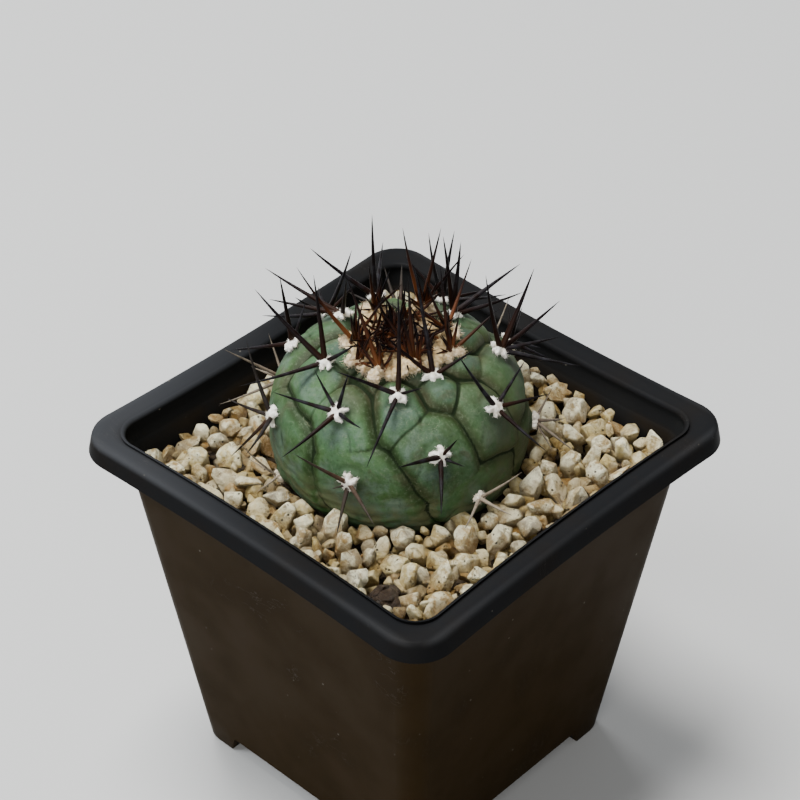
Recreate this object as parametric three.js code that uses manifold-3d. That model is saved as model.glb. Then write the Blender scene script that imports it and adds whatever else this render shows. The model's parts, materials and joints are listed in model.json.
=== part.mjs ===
// A young Copiapoa cinerea in a square nursery pot, with a gravel top dressing.
// Millimetres, +Z up. The origin is on the ground under the middle of the pot, and the pot's sides run
// along X and Y. Turns on the plant are degrees round its axis, counted from the side that it shows.
import * as THREE from 'three';
import { mergeVertices } from 'three/addons/utils/BufferGeometryUtils.js';
import Module from 'manifold-3d';

const wasm = await Module();
wasm.setup();

const clearance = 0.3; // between pieces that touch

// Pot. A half width runs from the middle to a flat side.
const potHeight = 82.1;
const rimHalf = 45;
const rimCorner = 7.5;
const lipHeight = 4.3;
const lipFlare = 0.7;
const flangeThickness = 1.2;
const openingHalf = 39.6;
const openingCorner = 4.9;
const wallHalfTop = 40.4;
const wallHalfBase = 30;
const wallCornerTop = 5.6;
const wallCornerBase = 4.2;
const wallThickness = 1.3;
const collarThickness = 0.8; // the wall above the stacking step
const stepDepth = 5;
const stepSlope = 0.6;
const sideBow = 0.9; // how far a long side of the rim leans in at its middle
const edgeRound = 0.6;
const footHeight = 4.6;
const footWidth = 8;
const archSlope = 2;
const floorThickness = 1.4;
const drainHoles = [[0, 0, 5], [14, 0, 3.5], [-14, 0, 3.5], [0, 14, 3.5], [0, -14, 3.5]]; // x, y, radius
const drainSides = 16;
const sideSteps = 4;
const cornerSteps = 5;

// Potting mix and gravel
const mixTop = 60;
const gravelLevel = 72.4; // top of the fine bed at the middle of the pot
const gravelRise = [0.02, 0.06]; // per millimetre, to the right and to the back of the side that shows
const stoneRadius = 4;
const stoneSpacing = 6.7;
const stoneSink = 0.55; // of the radius, into the bed
const stoneTop = 3.9; // the highest that a stone near the stem stands above the bed
const ringSpacing = 6.4; // between the stones that stand round the stem
const areoleRoom = 4.8; // from the middle of a stone to a low areole

// Stem: a body of revolution, whose outline is a superellipse above and below its widest circle
const stemPlace = [-4.1, 2.6];
const frontAngle = -47; // the side that shows looks over one corner of the pot
const stemRadius = 25.3;
const stemMiddle = 79.9; // height of the widest circle
const domeHeight = 20;
const domePower = 2.45;
const seatDepth = 17;
const seatPower = 2.39;
const root = [[6.5, -17.2], [5, -22], [3.6, -28], [1.8, -34]]; // radius, height from the widest circle
const stemColumns = 60;
const ringStep = 2.25; // between the rings of the stem above the gravel
const buriedArc = 46;

// Tubercles stand on a spiral that starts at the crown
const spiralStart = 308;
const spiralTurn = -99.5;
const lastTubercle = 36;
const lastAreole = 29; // the last one above the gravel
const firstAreole = 8; // those before it are in the crown
const tubercleHeight = [2.7, 0.6]; // near the crown and near the gravel
const tubercleFade = [11, 31]; // arcs between which the height goes from one to the other
const tubercleShoulder = 4.6; // from a crease up to the full height
const ribPartner = 7; // a tubercle runs into the one seven further on, so they make low ribs
const ribJoin = [0.6, 4.5]; // near the crown and near the gravel
const creaseShare = 0.85; // of the height, which lies below the smooth outline
const chin = 3; // a tubercle's middle lies this far below its areole
const tipHeight = 0.7;
const tipWidth = 2.6;

// Areoles
const woolRadius = 1.95;
const woolNotch = 0.72;
const woolHeight = 1.1;
const woolPoints = 5;
const spineRadius = 0.5;
const spineSides = 3;
const spineRoot = 0.5; // how deep a spine starts in its wool
const shortestSpine = 3.5;
const spineGap = 1.2; // least distance between the middles of two sprays' spines

// Areoles read from the photograph: turn, distance from the crown along the skin, and its spines as
// [clock direction seen from outside (0 is towards the crown), lean from upright on the skin, length]
const shown = {
  8: [-129, 14.2, [[169, 54, 18], [150, 66, 14.5], [20, 40, 12]]],
  9: [135, 14.8, [[14, 27, 18], [352, 20, 17], [188, 52, 17.5], [205, 64, 15]]],
  10: [32, 12, [[4, 40, 22], [314, 55, 12.5], [95, 60, 9]]],
  11: [-68, 15.1, [[178, 68, 17.5], [243, 27, 19.5], [330, 25, 18], [40, 62, 10]]],
  12: [-166, 19.8, [[1, 30, 18], [71, 50, 17], [208, 43, 14.5]]],
  13: [93, 19.5, [[359, 47, 18], [195, 61, 15.5], [60, 24, 17], [126, 55, 17], [165, 50, 12]]],
  14: [-1, 15.6, [[359, 43, 22], [275, 58, 13.5], [197, 75, 19], [92, 55, 5.5]]],
  15: [-104, 21.9, [[184, 66, 14], [8, 39, 16.5], [330, 61, 9]]],
  16: [156, 21.3, [[350, 39, 16.5], [10, 50, 17], [72, 57, 11.5], [271, 71, 13], [216, 64, 12], [137, 71, 11]]],
  17: [54, 23.3, [[334, 68, 16.5], [62, 62, 10.5], [112, 66, 11], [185, 59, 13]]],
  18: [-34, 21, [[261, 62, 12.5], [193, 61, 14.5], [312, 61, 9], [20, 58, 8.5], [99, 64, 9]]],
  19: [-142.5, 25.3, [[220, 40, 9], [337, 72, 17], [50, 70, 11], [100, 65, 13], [160, 60, 13.5], [270, 69, 10]]],
  20: [118, 26.7, [[114, 54, 12], [69, 54, 8], [204, 62, 10.5], [284, 69, 9.5], [345, 61, 9.5]]],
  21: [18, 27.3, [[281, 51, 13.5], [198, 57, 11.5], [119, 57, 5], [39, 55, 5.5]]],
  22: [-72, 30.1, [[332, 66, 15.5], [91, 55, 15], [248, 70, 13.5], [189, 66, 12.5]]],
  23: [179.5, 31.5, [[68, 17, 13], [359, 14, 12], [147, 56, 11], [231, 59, 11], [292, 65, 12.5], [76, 69, 12.5]]],
  24: [87, 36, [[312, 55, 10], [283, 60, 15], [250, 62, 8], [68, 66, 8]]],
  25: [-21, 32.8, [[317, 57, 14], [179, 56, 10], [96, 43, 13], [250, 59, 3.5]]],
  28: [35, 38.5, [[14, 55, 14.5], [295, 51, 15], [340, 30, 15]]],
  29: [-65, 42.2, [[3, 72, 14.5], [50, 58, 11], [305, 60, 7]]],
};
const sideSpines = [4, 6]; // least and most round an areole that faces away
const sideLean = [52, 72];
const sideLength = [9, 15];
const middleLean = 24;
const middleLength = [15, 19];
const highestLowLean = 55; // a spray at the gravel holds its spines clear of the stones
const lowArc = 34;

// Crown
const crownReach = 10.4;
const crownPad = 1.1;
const tuftRadius = 3.5;
const tuftRise = 1.8;
const tuftTurns = { 2: [103, 9], 3: [18, 8.3], 4: [-79, 8.6], 5: [156, 10.2], 6: [70, 10.4], 7: [-22, 9.9] };
const crownShown = {
  1: [[26, 28, 14]],
  2: [[119, 52, 15]],
  3: [[10, 27, 17]],
  4: [[182, 22, 20]],
  5: [[307, 12, 18.5], [266, 30, 15], [41, 19, 18]],
  6: [[36, 34, 17], [121, 62, 13]],
  7: [[310, 32, 20]],
};
const youngSpines = 4; // in each crown areole
const youngLean = [15, 62];
const youngSpread = 75;
const youngLength = [6, 11.5];
const youngRadius = 0.4;
const besideCrown = 17; // the crown leaves room for the areoles within this distance

const finish = {
  pot: { color: 0x1b1c1e, roughness: 0.55, metalness: 0 },
  mix: { color: 0x33261b, roughness: 1, metalness: 0 },
  gravel: { color: 0xc9b48c, roughness: 0.9, metalness: 0 },
  stem: { color: 0x55735a, roughness: 0.65, metalness: 0 },
  crown: { color: 0xc9b190, roughness: 0.95, metalness: 0 },
  spray: { color: 0x2a2223, roughness: 0.6, metalness: 0 },
};

const radians = THREE.MathUtils.degToRad;
const mix = THREE.MathUtils.lerp;

// Repeatable random numbers from 0 to 1
function drawsFrom(seed) {
  let state = seed;
  return () => {
    state = (1664525 * state + 1013904223) % 4294967296;
    return state / 4294967296;
  };
}

function solidFrom(points, faces) {
  const vertProperties = new Float32Array(points.flatMap((p) => [p.x, p.y, p.z]));
  return new wasm.Manifold(new wasm.Mesh({ numProp: 3, vertProperties, triVerts: new Uint32Array(faces) }));
}

function solidOf(geometry) {
  geometry.deleteAttribute('normal');
  geometry.deleteAttribute('uv');
  const merged = mergeVertices(geometry, 1e-4);
  const spots = merged.attributes.position;
  const spot = (_, i) => new THREE.Vector3().fromBufferAttribute(spots, i);
  const points = Array.from({ length: spots.count }, spot);
  return solidFrom(points, Array.from(merged.index.array));
}

function meshOf(name, solid, look) {
  const { vertProperties, triVerts } = solid.getMesh();
  const geometry = new THREE.BufferGeometry();
  geometry.setAttribute('position', new THREE.BufferAttribute(vertProperties, 3));
  geometry.setIndex(new THREE.BufferAttribute(triVerts, 1));
  geometry.computeVertexNormals();
  const mesh = new THREE.Mesh(geometry, new THREE.MeshStandardMaterial({ ...look, flatShading: true }));
  mesh.name = name;
  return mesh;
}

// A closed solid through rings of equal count, each anticlockwise seen from above, closed at both ends
function loft(rings) {
  const count = rings[0].length;
  const middle = (ring) => ring.reduce((sum, p) => sum.add(p), new THREE.Vector3()).divideScalar(count);
  const points = rings.flat();
  const faces = [];
  for (let r = 0; r < rings.length - 1; r += 1) {
    for (let i = 0; i < count; i += 1) {
      const a = r * count + i;
      const b = r * count + (i + 1) % count;
      faces.push(a, b, b + count, a, b + count, a + count);
    }
  }
  const bottom = points.length;
  const top = bottom + 1;
  const last = (rings.length - 1) * count;
  points.push(middle(rings[0]), middle(rings[rings.length - 1]));
  for (let i = 0; i < count; i += 1) {
    const next = (i + 1) % count;
    faces.push(bottom, next, i, top, last + i, last + next);
  }
  return solidFrom(points, faces);
}

function squareRing(half, corner, z, bow) {
  const straight = half - corner;
  const ring = [];
  const upright = new THREE.Vector3(0, 0, 1);
  for (let side = 0; side < 4; side += 1) {
    const turned = (x, y) => new THREE.Vector3(x, y, z).applyAxisAngle(upright, side * Math.PI / 2);
    for (let i = 0; i <= sideSteps; i += 1) {
      const along = 2 * i / sideSteps - 1;
      ring.push(turned(half - bow * (1 - along * along), straight * along));
    }
    for (let i = 1; i < cornerSteps; i += 1) {
      const angle = i / cornerSteps * Math.PI / 2;
      ring.push(turned(straight + corner * Math.cos(angle), straight + corner * Math.sin(angle)));
    }
  }
  return ring;
}

// A ring at height z that lies inset from the outside of the pot's wall
function wallRing(z, inset) {
  const up = z / potHeight;
  const half = mix(wallHalfBase, wallHalfTop, up) - inset;
  return squareRing(half, mix(wallCornerBase, wallCornerTop, up) - inset, z, sideBow * up);
}

function makePot() {
  const rimRing = (inset, z) => squareRing(rimHalf - inset, rimCorner - inset, z, sideBow);
  const lipBottom = potHeight - lipHeight;
  const stepTop = potHeight - stepDepth;
  const body = loft([
    wallRing(0, 0),
    wallRing(potHeight - flangeThickness, 0),
    rimRing(flangeThickness, potHeight - flangeThickness),
    rimRing(flangeThickness - lipFlare, lipBottom),
    rimRing(-lipFlare, lipBottom),
    rimRing(0, potHeight - edgeRound),
    rimRing(edgeRound, potHeight),
    squareRing(openingHalf + edgeRound, openingCorner + edgeRound, potHeight, sideBow),
    squareRing(openingHalf, openingCorner, potHeight - edgeRound, sideBow),
    wallRing(stepTop, collarThickness),
    wallRing(stepTop - stepSlope, wallThickness),
    wallRing(footHeight + floorThickness, wallThickness),
  ]);
  const archHalf = wallHalfBase - footWidth;
  const below = -1;
  const outline = new THREE.Shape([
    new THREE.Vector2(-archHalf, below),
    new THREE.Vector2(archHalf, below),
    new THREE.Vector2(archHalf - archSlope, footHeight),
    new THREE.Vector2(archSlope - archHalf, footHeight),
  ]);
  const depth = 3 * wallHalfBase;
  const arch = new THREE.ExtrudeGeometry(outline, { depth, bevelEnabled: false });
  arch.translate(0, 0, -depth / 2).rotateX(Math.PI / 2);
  const across = arch.clone().rotateZ(Math.PI / 2);
  let pot = body.subtract(solidOf(arch)).subtract(solidOf(across));
  for (const [x, y, radius] of drainHoles) {
    const hole = new THREE.CylinderGeometry(radius, radius, 2 * footHeight, drainSides);
    pot = pot.subtract(solidOf(hole.rotateX(Math.PI / 2).translate(x, y, footHeight)));
  }
  return pot;
}

// The stem's outline from the crown down to the root's end, as points with their distance along it
function stemOutline() {
  const steps = 90;
  const line = [];
  for (let i = 0; i <= steps; i += 1) {
    const a = i / steps * Math.PI / 2;
    line.push([stemRadius * Math.sin(a) ** (2 / domePower), domeHeight * Math.cos(a) ** (2 / domePower)]);
  }
  for (let i = 1; i <= steps; i += 1) {
    const a = i / steps * Math.PI / 2;
    const r = stemRadius * Math.cos(a) ** (2 / seatPower);
    if (r > root[0][0]) {
      line.push([r, -seatDepth * Math.sin(a) ** (2 / seatPower)]);
    }
  }
  let arc = 0;
  return [...line, ...root].map(([r, z], i, all) => {
    arc += i ? Math.hypot(r - all[i - 1][0], z - all[i - 1][1]) : 0;
    return { r, z: stemMiddle + z, arc };
  });
}

const outline = stemOutline();
const rootEnd = outline[outline.length - 1].arc;

// The place on the smooth stem at a turn and a distance from the crown, with its directions
function onStem(turn, arc) {
  const last = outline.findIndex((p) => p.arc >= arc);
  const i = Math.max(1, last < 0 ? outline.length - 1 : last);
  const [a, b] = [outline[i - 1], outline[i]];
  const t = (arc - a.arc) / (b.arc - a.arc);
  const angle = radians(turn + frontAngle);
  const outward = new THREE.Vector3(Math.cos(angle), Math.sin(angle), 0);
  const side = new THREE.Vector3(-Math.sin(angle), Math.cos(angle), 0);
  const down = outward.clone().multiplyScalar(b.r - a.r).setZ(b.z - a.z).normalize();
  const normal = new THREE.Vector3().crossVectors(down, side);
  const place = outward.clone().multiplyScalar(mix(a.r, b.r, t)).setZ(mix(a.z, b.z, t));
  place.x += stemPlace[0];
  place.y += stemPlace[1];
  return { place, normal, up: down.negate(), side };
}

function areoleAt(number) {
  const known = shown[number] ?? tuftTurns[number];
  return {
    turn: known ? known[0] : spiralStart + spiralTurn * number,
    arc: known ? known[1] : 9.65 + 0.214 * number + 0.032 * number * number,
  };
}

const tubercles = Array.from({ length: lastTubercle + 1 }, (_, number) => {
  const { turn, arc } = areoleAt(number);
  return { number, middle: onStem(turn, arc + chin).place, tip: onStem(turn, arc).place };
});

// How far the skin stands out from the smooth stem: each tubercle is highest in its middle and falls
// to a crease half way to its neighbours, which is shallower towards those on the same rib
function relief(place, arc) {
  const near = tubercles.map((t) => ({ ...t, distance: place.distanceTo(t.middle) }));
  near.sort((p, q) => p.distance - q.distance);
  const own = near[0];
  const age = THREE.MathUtils.clamp((arc - tubercleFade[0]) / (tubercleFade[1] - tubercleFade[0]), 0, 1);
  let edge = Infinity;
  for (const other of near.slice(1, 7)) {
    const between = own.middle.distanceTo(other.middle);
    const toCrease = (other.distance ** 2 - own.distance ** 2) / (2 * between);
    const joined = Math.abs(other.number - own.number) === ribPartner ? mix(...ribJoin, age) : 0;
    edge = Math.min(edge, toCrease + joined);
  }
  const height = mix(tubercleHeight[0], tubercleHeight[1], age);
  const rise = Math.min(edge / tubercleShoulder, 1);
  const swell = height * (rise * (2 - rise) - creaseShare);
  const tip = tipHeight * Math.exp(-((place.distanceTo(own.tip) / tipWidth) ** 2));
  const buried = THREE.MathUtils.smoothstep(arc, buriedArc, 54);
  const exposed = THREE.MathUtils.smoothstep(arc, 4, 11) * (1 - buried);
  return (swell + tip) * exposed;
}

function skinPoint(turn, arc, lift) {
  const { place, normal } = onStem(turn, arc);
  return place.clone().addScaledVector(normal, lift + relief(place, arc));
}

// The whole stem with its root, or the space that it needs when lift is more than nothing
function stemSolid(lift) {
  const arcs = [];
  for (let arc = ringStep / 2; arc < buriedArc; arc += ringStep) {
    arcs.push(arc);
  }
  const buriedRings = 8;
  for (let i = 0; i <= buriedRings; i += 1) {
    arcs.push(mix(buriedArc + ringStep, rootEnd, i / buriedRings));
  }
  const rings = arcs.reverse().map((arc) => Array.from({ length: stemColumns }, (_, i) => (
    skinPoint(360 * i / stemColumns, arc, lift)
  )));
  return loft(rings);
}

function bedHeight(x, y) {
  const front = radians(frontAngle);
  const towardFront = x * Math.cos(front) + y * Math.sin(front);
  const towardRight = -x * Math.sin(front) + y * Math.cos(front);
  return gravelLevel + gravelRise[0] * towardRight - gravelRise[1] * towardFront;
}

function stoneSolid(x, y, radius, draw) {
  const ball = new THREE.IcosahedronGeometry(1, 0).deleteAttribute('normal').deleteAttribute('uv');
  const stone = mergeVertices(ball);
  const spots = stone.attributes.position;
  for (let i = 0; i < spots.count; i += 1) {
    const swell = mix(0.86, 1.14, draw());
    spots.setXYZ(i, spots.getX(i) * swell, spots.getY(i) * swell, spots.getZ(i) * swell);
  }
  stone.scale(radius, radius * mix(0.8, 1, draw()), radius * mix(0.68, 0.9, draw()));
  stone.rotateX(draw() * 6).rotateY(draw() * 6).rotateZ(draw() * 6);
  stone.translate(x, y, bedHeight(x, y) + radius * (0.5 - stoneSink) + mix(-0.5, 0.5, draw()));
  return solidOf(stone);
}

// Stones stand in a ring round the stem and in staggered rows over the rest of the bed
function stonePlaces(draw) {
  const places = [];
  const ringRadius = stemRadius + 0.4 * stoneRadius;
  const ringCount = Math.round(2 * Math.PI * ringRadius / ringSpacing);
  for (let i = 0; i < ringCount; i += 1) {
    const angle = (i + mix(-0.12, 0.12, draw())) * 2 * Math.PI / ringCount;
    const [x, y] = stemPlace;
    places.push([x + ringRadius * Math.cos(angle), y + ringRadius * Math.sin(angle)]);
  }
  const reach = mix(wallHalfBase, wallHalfTop, gravelLevel / potHeight) - wallThickness - 0.75 * stoneRadius;
  const rows = Math.round(2 * reach / (stoneSpacing * 0.88));
  for (let row = 0; row <= rows; row += 1) {
    const y = mix(-reach, reach, row / rows);
    const count = Math.round(2 * reach / stoneSpacing) - row % 2;
    for (let i = 0; i <= count; i += 1) {
      const x = (i / count - 0.5) * 2 * (reach - (row % 2) * stoneSpacing / 2);
      const place = [x + mix(-0.7, 0.7, draw()), y + mix(-0.7, 0.7, draw())];
      if (Math.hypot(place[0] - stemPlace[0], place[1] - stemPlace[1]) > ringRadius + 0.72 * ringSpacing) {
        places.push(place);
      }
    }
  }
  const areoles = tubercles.slice(firstAreole, lastAreole + 1).map((t) => t.tip);
  return places.filter(([x, y]) => {
    const stone = new THREE.Vector3(x, y, bedHeight(x, y));
    return areoles.every((areole) => areole.distanceTo(stone) > areoleRoom);
  });
}

function makeGravel(stemSpace) {
  const draw = drawsFrom(41);
  const inset = wallThickness + clearance;
  const bedTop = wallRing(gravelLevel, inset - 1).map((p) => p.setZ(bedHeight(p.x, p.y)));
  let gravel = loft([wallRing(mixTop, inset - 1), bedTop]);
  for (const [x, y] of stonePlaces(draw)) {
    gravel = gravel.add(stoneSolid(x, y, stoneRadius * mix(0.86, 1.1, draw()), draw));
  }
  const inside = loft([wallRing(mixTop + clearance, inset), wallRing(potHeight, inset)]);
  return gravel.intersect(inside).subtract(stemSpace);
}

function makePottingMix(stemSpace) {
  const inset = wallThickness + clearance;
  const mixBottom = footHeight + floorThickness + clearance;
  return loft([wallRing(mixBottom, inset), wallRing(mixTop, inset)]).subtract(stemSpace);
}

// Spines that are already placed, which the later ones are bent clear of
const placedSpines = [];

function segmentGap(a, b) {
  let least = Infinity;
  const steps = 12;
  const line = new THREE.Line3(b.foot, b.tip);
  const nearest = new THREE.Vector3();
  for (let i = 0; i <= steps; i += 1) {
    const spot = new THREE.Vector3().lerpVectors(a.foot, a.tip, i / steps);
    line.closestPointToPoint(spot, true, nearest);
    least = Math.min(least, spot.distanceTo(nearest));
  }
  return least;
}

function spineFrom(owner, seat, clock, lean, length) {
  const along = seat.up.clone().multiplyScalar(Math.cos(radians(clock)));
  along.addScaledVector(seat.side, Math.sin(radians(clock)));
  const direction = seat.normal.clone().multiplyScalar(Math.cos(radians(lean)));
  direction.addScaledVector(along, Math.sin(radians(lean)));
  const foot = seat.place.clone().addScaledVector(seat.normal, seat.lift);
  const tip = foot.clone().addScaledVector(direction, length);
  foot.addScaledVector(direction, -spineRoot);
  return { owner, foot, tip, direction };
}

function isClear(spine) {
  return placedSpines.every((other) => other.owner === spine.owner || segmentGap(spine, other) > spineGap);
}

// A low spine stops short of the pot's wall and of the stones
function isFree({ tip }) {
  const reach = openingHalf - sideBow - wallThickness - clearance;
  const inPot = tip.z > potHeight + 1 || Math.max(Math.abs(tip.x), Math.abs(tip.y)) < reach;
  return inPot && tip.z > bedHeight(tip.x, tip.y) + stoneTop;
}

function placeSpine(owner, seat, clock, lean, fullLength) {
  let length = fullLength;
  while (length > shortestSpine && !isFree(spineFrom(owner, seat, clock, lean, length))) {
    length -= 1;
  }
  let spine = spineFrom(owner, seat, clock, lean, length);
  for (let turn = 1; turn <= 30 && !isClear(spine); turn += 1) {
    const swing = 6 * Math.ceil(turn / 2) * (turn % 2 ? 1 : -1);
    spine = spineFrom(owner, seat, clock + swing, lean, length);
  }
  placedSpines.push(spine);
  return spine;
}

function spineSolid(spine, radius) {
  const length = spine.foot.distanceTo(spine.tip);
  const cone = new THREE.ConeGeometry(radius, length, spineSides).translate(0, length / 2, 0);
  const turn = new THREE.Quaternion().setFromUnitVectors(new THREE.Vector3(0, 1, 0), spine.direction);
  cone.applyQuaternion(turn).translate(spine.foot.x, spine.foot.y, spine.foot.z);
  return solidOf(cone);
}

function seatOf(number) {
  const { turn, arc } = areoleAt(number);
  const seat = onStem(turn, arc);
  seat.lift = relief(seat.place, arc) + clearance;
  return seat;
}

// A small ragged pad of wool, a star in outline, or the space that it needs when grown
function woolPad(seat, turn, grow) {
  const star = (size, height) => Array.from({ length: 2 * woolPoints }, (_, i) => {
    const angle = (i / woolPoints) * Math.PI + turn;
    const reach = grow + size * woolRadius * (i % 2 ? woolNotch : 1);
    const p = seat.place.clone().addScaledVector(seat.normal, seat.lift + height);
    p.addScaledVector(seat.side, reach * Math.cos(angle));
    return p.addScaledVector(seat.up, reach * Math.sin(angle));
  });
  return loft([star(0.9, -0.8), star(1, 0.35 + grow), star(0.5, woolHeight + grow)]);
}

function spinesOf(number, draw) {
  if (number in shown) {
    return shown[number][2];
  }
  const spines = [];
  const low = areoleAt(number).arc > lowArc;
  const count = Math.round(mix(...sideSpines, draw()));
  const first = 360 * draw();
  for (let i = 0; i < count; i += 1) {
    const clock = first + 360 * (i + mix(-0.15, 0.15, draw())) / count;
    const lean = mix(...sideLean, draw());
    const length = mix(...sideLength, draw());
    spines.push([clock, low ? Math.min(lean, highestLowLean) : lean, length]);
  }
  spines.push([360 * draw(), middleLean * draw(), mix(...middleLength, draw())]);
  return spines;
}

function sprayBody(number, seat, spines, grow) {
  let spray = woolPad(seat, number, grow);
  for (const spine of spines) {
    spray = spray.add(spineSolid(spine, spineRadius + grow));
  }
  return spray;
}

// The crown's wool: a low pad with a tuft at each young areole
function crownWool() {
  const { place } = onStem(0, 0);
  const rings = [[1, -3], [1, 0.1], [0.75, 0.9], [0.3, 0.7]].map(([size, rise]) => (
    Array.from({ length: 18 }, (_, i) => skinPoint(20 * i, size * crownReach, 0)
      .setZ(mix(skinPoint(20 * i, size * crownReach, 0).z, place.z, 0.2) + rise * crownPad))
  ));
  let wool = loft(rings);
  const draw = drawsFrom(7);
  for (let number = 0; number < firstAreole; number += 1) {
    const seat = seatOf(number);
    const tuft = new THREE.IcosahedronGeometry(tuftRadius, 1);
    tuft.scale(1, mix(0.8, 1, draw()), tuftRise / tuftRadius);
    tuft.rotateZ(6 * draw());
    tuft.translate(seat.place.x, seat.place.y, seat.place.z + seat.lift + 0.3 * draw());
    wool = wool.add(solidOf(tuft));
  }
  return wool;
}

function youngSpinesOf(number, draw) {
  const spines = [...(crownShown[number] ?? [])];
  while (spines.length < youngSpines) {
    const clock = youngSpread * (2 * draw() - 1);
    spines.push([clock, mix(...youngLean, draw()), mix(...youngLength, draw())]);
  }
  return spines;
}

const stemSpace = stemSolid(clearance);
const model = new THREE.Group();
model.add(meshOf('pot', makePot(), finish.pot));
model.add(meshOf('potting_mix', makePottingMix(stemSpace), finish.mix));
model.add(meshOf('gravel', makeGravel(stemSpace), finish.gravel));
model.add(meshOf('stem', stemSolid(0), finish.stem));

const sprayNumbers = [];
for (let number = firstAreole; number <= lastAreole; number += 1) {
  sprayNumbers.push(number);
}
// The sprays that show are placed first, so that only the others are bent
sprayNumbers.sort((a, b) => (b in shown) - (a in shown) || a - b);
const sprays = sprayNumbers.map((number) => {
  const seat = seatOf(number);
  const spines = spinesOf(number, drawsFrom(100 + number));
  return { number, seat, spines: spines.map((spine) => placeSpine(number, seat, ...spine)) };
});

let crown = crownWool();
const crownDraw = drawsFrom(23);
for (let number = 0; number < firstAreole; number += 1) {
  const seat = seatOf(number);
  for (const [clock, lean, length] of youngSpinesOf(number, crownDraw)) {
    crown = crown.add(spineSolid(placeSpine('crown', seat, clock, lean, length), youngRadius));
  }
}
for (const { number, seat, spines } of sprays) {
  if (areoleAt(number).arc < besideCrown) {
    crown = crown.subtract(sprayBody(number, seat, spines, clearance));
  }
}
model.add(meshOf('crown', crown.subtract(stemSpace), finish.crown));
for (const { number, seat, spines } of sprays) {
  const name = `areole_${String(number).padStart(2, '0')}`;
  model.add(meshOf(name, sprayBody(number, seat, spines, 0).subtract(stemSpace), finish.spray));
}

export default model;
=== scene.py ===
import json
import math
import random

import bmesh
import bpy
import numpy as np
from mathutils import Matrix, Vector, noise

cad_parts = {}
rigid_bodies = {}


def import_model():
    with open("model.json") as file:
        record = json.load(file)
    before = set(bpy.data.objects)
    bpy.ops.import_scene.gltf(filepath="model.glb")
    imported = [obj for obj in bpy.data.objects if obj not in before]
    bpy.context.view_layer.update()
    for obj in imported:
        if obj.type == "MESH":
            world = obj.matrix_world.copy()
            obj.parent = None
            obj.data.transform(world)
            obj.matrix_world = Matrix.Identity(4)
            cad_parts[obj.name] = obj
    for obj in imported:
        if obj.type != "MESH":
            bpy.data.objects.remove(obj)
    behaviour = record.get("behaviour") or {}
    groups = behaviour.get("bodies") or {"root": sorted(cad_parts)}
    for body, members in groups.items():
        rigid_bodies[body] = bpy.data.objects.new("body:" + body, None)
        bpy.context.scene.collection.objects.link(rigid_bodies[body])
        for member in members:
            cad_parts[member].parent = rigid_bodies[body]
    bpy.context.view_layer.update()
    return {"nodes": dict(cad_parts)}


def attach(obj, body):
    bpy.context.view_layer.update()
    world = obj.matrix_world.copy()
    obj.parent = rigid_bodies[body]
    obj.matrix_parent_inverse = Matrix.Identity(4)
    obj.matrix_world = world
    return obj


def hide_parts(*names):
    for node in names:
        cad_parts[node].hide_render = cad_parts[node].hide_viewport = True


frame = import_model()
mm = 0.001
front = -47  # direction of the side that shows, over one corner of the pot


# Helpers that make meshes and node trees

def mixed(a, b, share):
    return a + (b - a) * share


def smooth(value, low, high):
    t = np.clip((value - low) / (high - low), 0, 1)
    return t * t * (3 - 2 * t)


def bell(value, width):
    return np.exp(-(value / width) ** 2)


def noiseAt(spots, often, shift=(0, 0, 0)):
    shift = Vector(shift)
    return np.array([noise.noise(Vector(spot) * often + shift) for spot in spots])


# Three smooth noises at each spot, because mathutils' own noise_vector differs from run to run
def noiseVectors(spots):
    return np.stack([noiseAt(spots, 1, shift) for shift in ((9.3, -1.5, -8.0), (0, 0, 0), (6.3, 0.2, -2.7))], 1)


def drawsFrom(seed):  # the part's own repeatable numbers from 0 to 1
    state = seed
    while True:
        state = (1664525 * state + 1013904223) % 4294967296
        yield state / 4294967296


def setMarks(mesh, marks):
    for label, values in marks.items():
        values = np.ascontiguousarray(values, np.float32)
        mesh.attributes.new(label, "FLOAT", "POINT").data.foreach_set("value", values)


def meshFrom(name, points, faces, edges=(), marks=None):
    mesh = bpy.data.meshes.new(name)
    mesh.from_pydata((np.asarray(points) * mm).tolist(), list(edges), faces)
    setMarks(mesh, marks or {})
    if faces:
        mesh.shade_smooth()
    return mesh


def evaluated(source):
    graph = bpy.context.evaluated_depsgraph_get()
    return bpy.data.meshes.new_from_object(source.evaluated_get(graph), depsgraph=graph)


def linked(name, mesh, *materials):
    piece = bpy.data.objects.new(name, mesh)
    bpy.context.scene.collection.objects.link(piece)
    if materials:
        mesh.materials.clear()
    for material in materials:
        mesh.materials.append(material)
    return piece


# Rings of equal count, anticlockwise seen from above, lowest first; both ends are closed
def loft(rings):
    rings = np.asarray(rings, float)
    count = rings.shape[1]
    points = np.vstack([rings.reshape(-1, 3), rings[0].mean(0), rings[-1].mean(0)])
    faces = []
    for r in range(len(rings) - 1):
        for i in range(count):
            a, b = r * count + i, r * count + (i + 1) % count
            faces.append((a, b, b + count, a + count))
    bottom, last = len(points) - 2, (len(rings) - 1) * count
    for i in range(count):
        after = (i + 1) % count
        faces.append((bottom, after, i))
        faces.append((bottom + 1, last + i, last + after))
    return points, faces


def newGroup(name, sizes):
    group = bpy.data.node_groups.new(name, "GeometryNodeTree")
    group.interface.new_socket("Geometry", in_out="INPUT", socket_type="NodeSocketGeometry")
    for label, value in sizes.items():
        kind = "NodeSocketInt" if isinstance(value, int) else "NodeSocketFloat"
        group.interface.new_socket(label, in_out="INPUT", socket_type=kind).default_value = value
    group.interface.new_socket("Geometry", in_out="OUTPUT", socket_type="NodeSocketGeometry")
    return group


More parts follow.
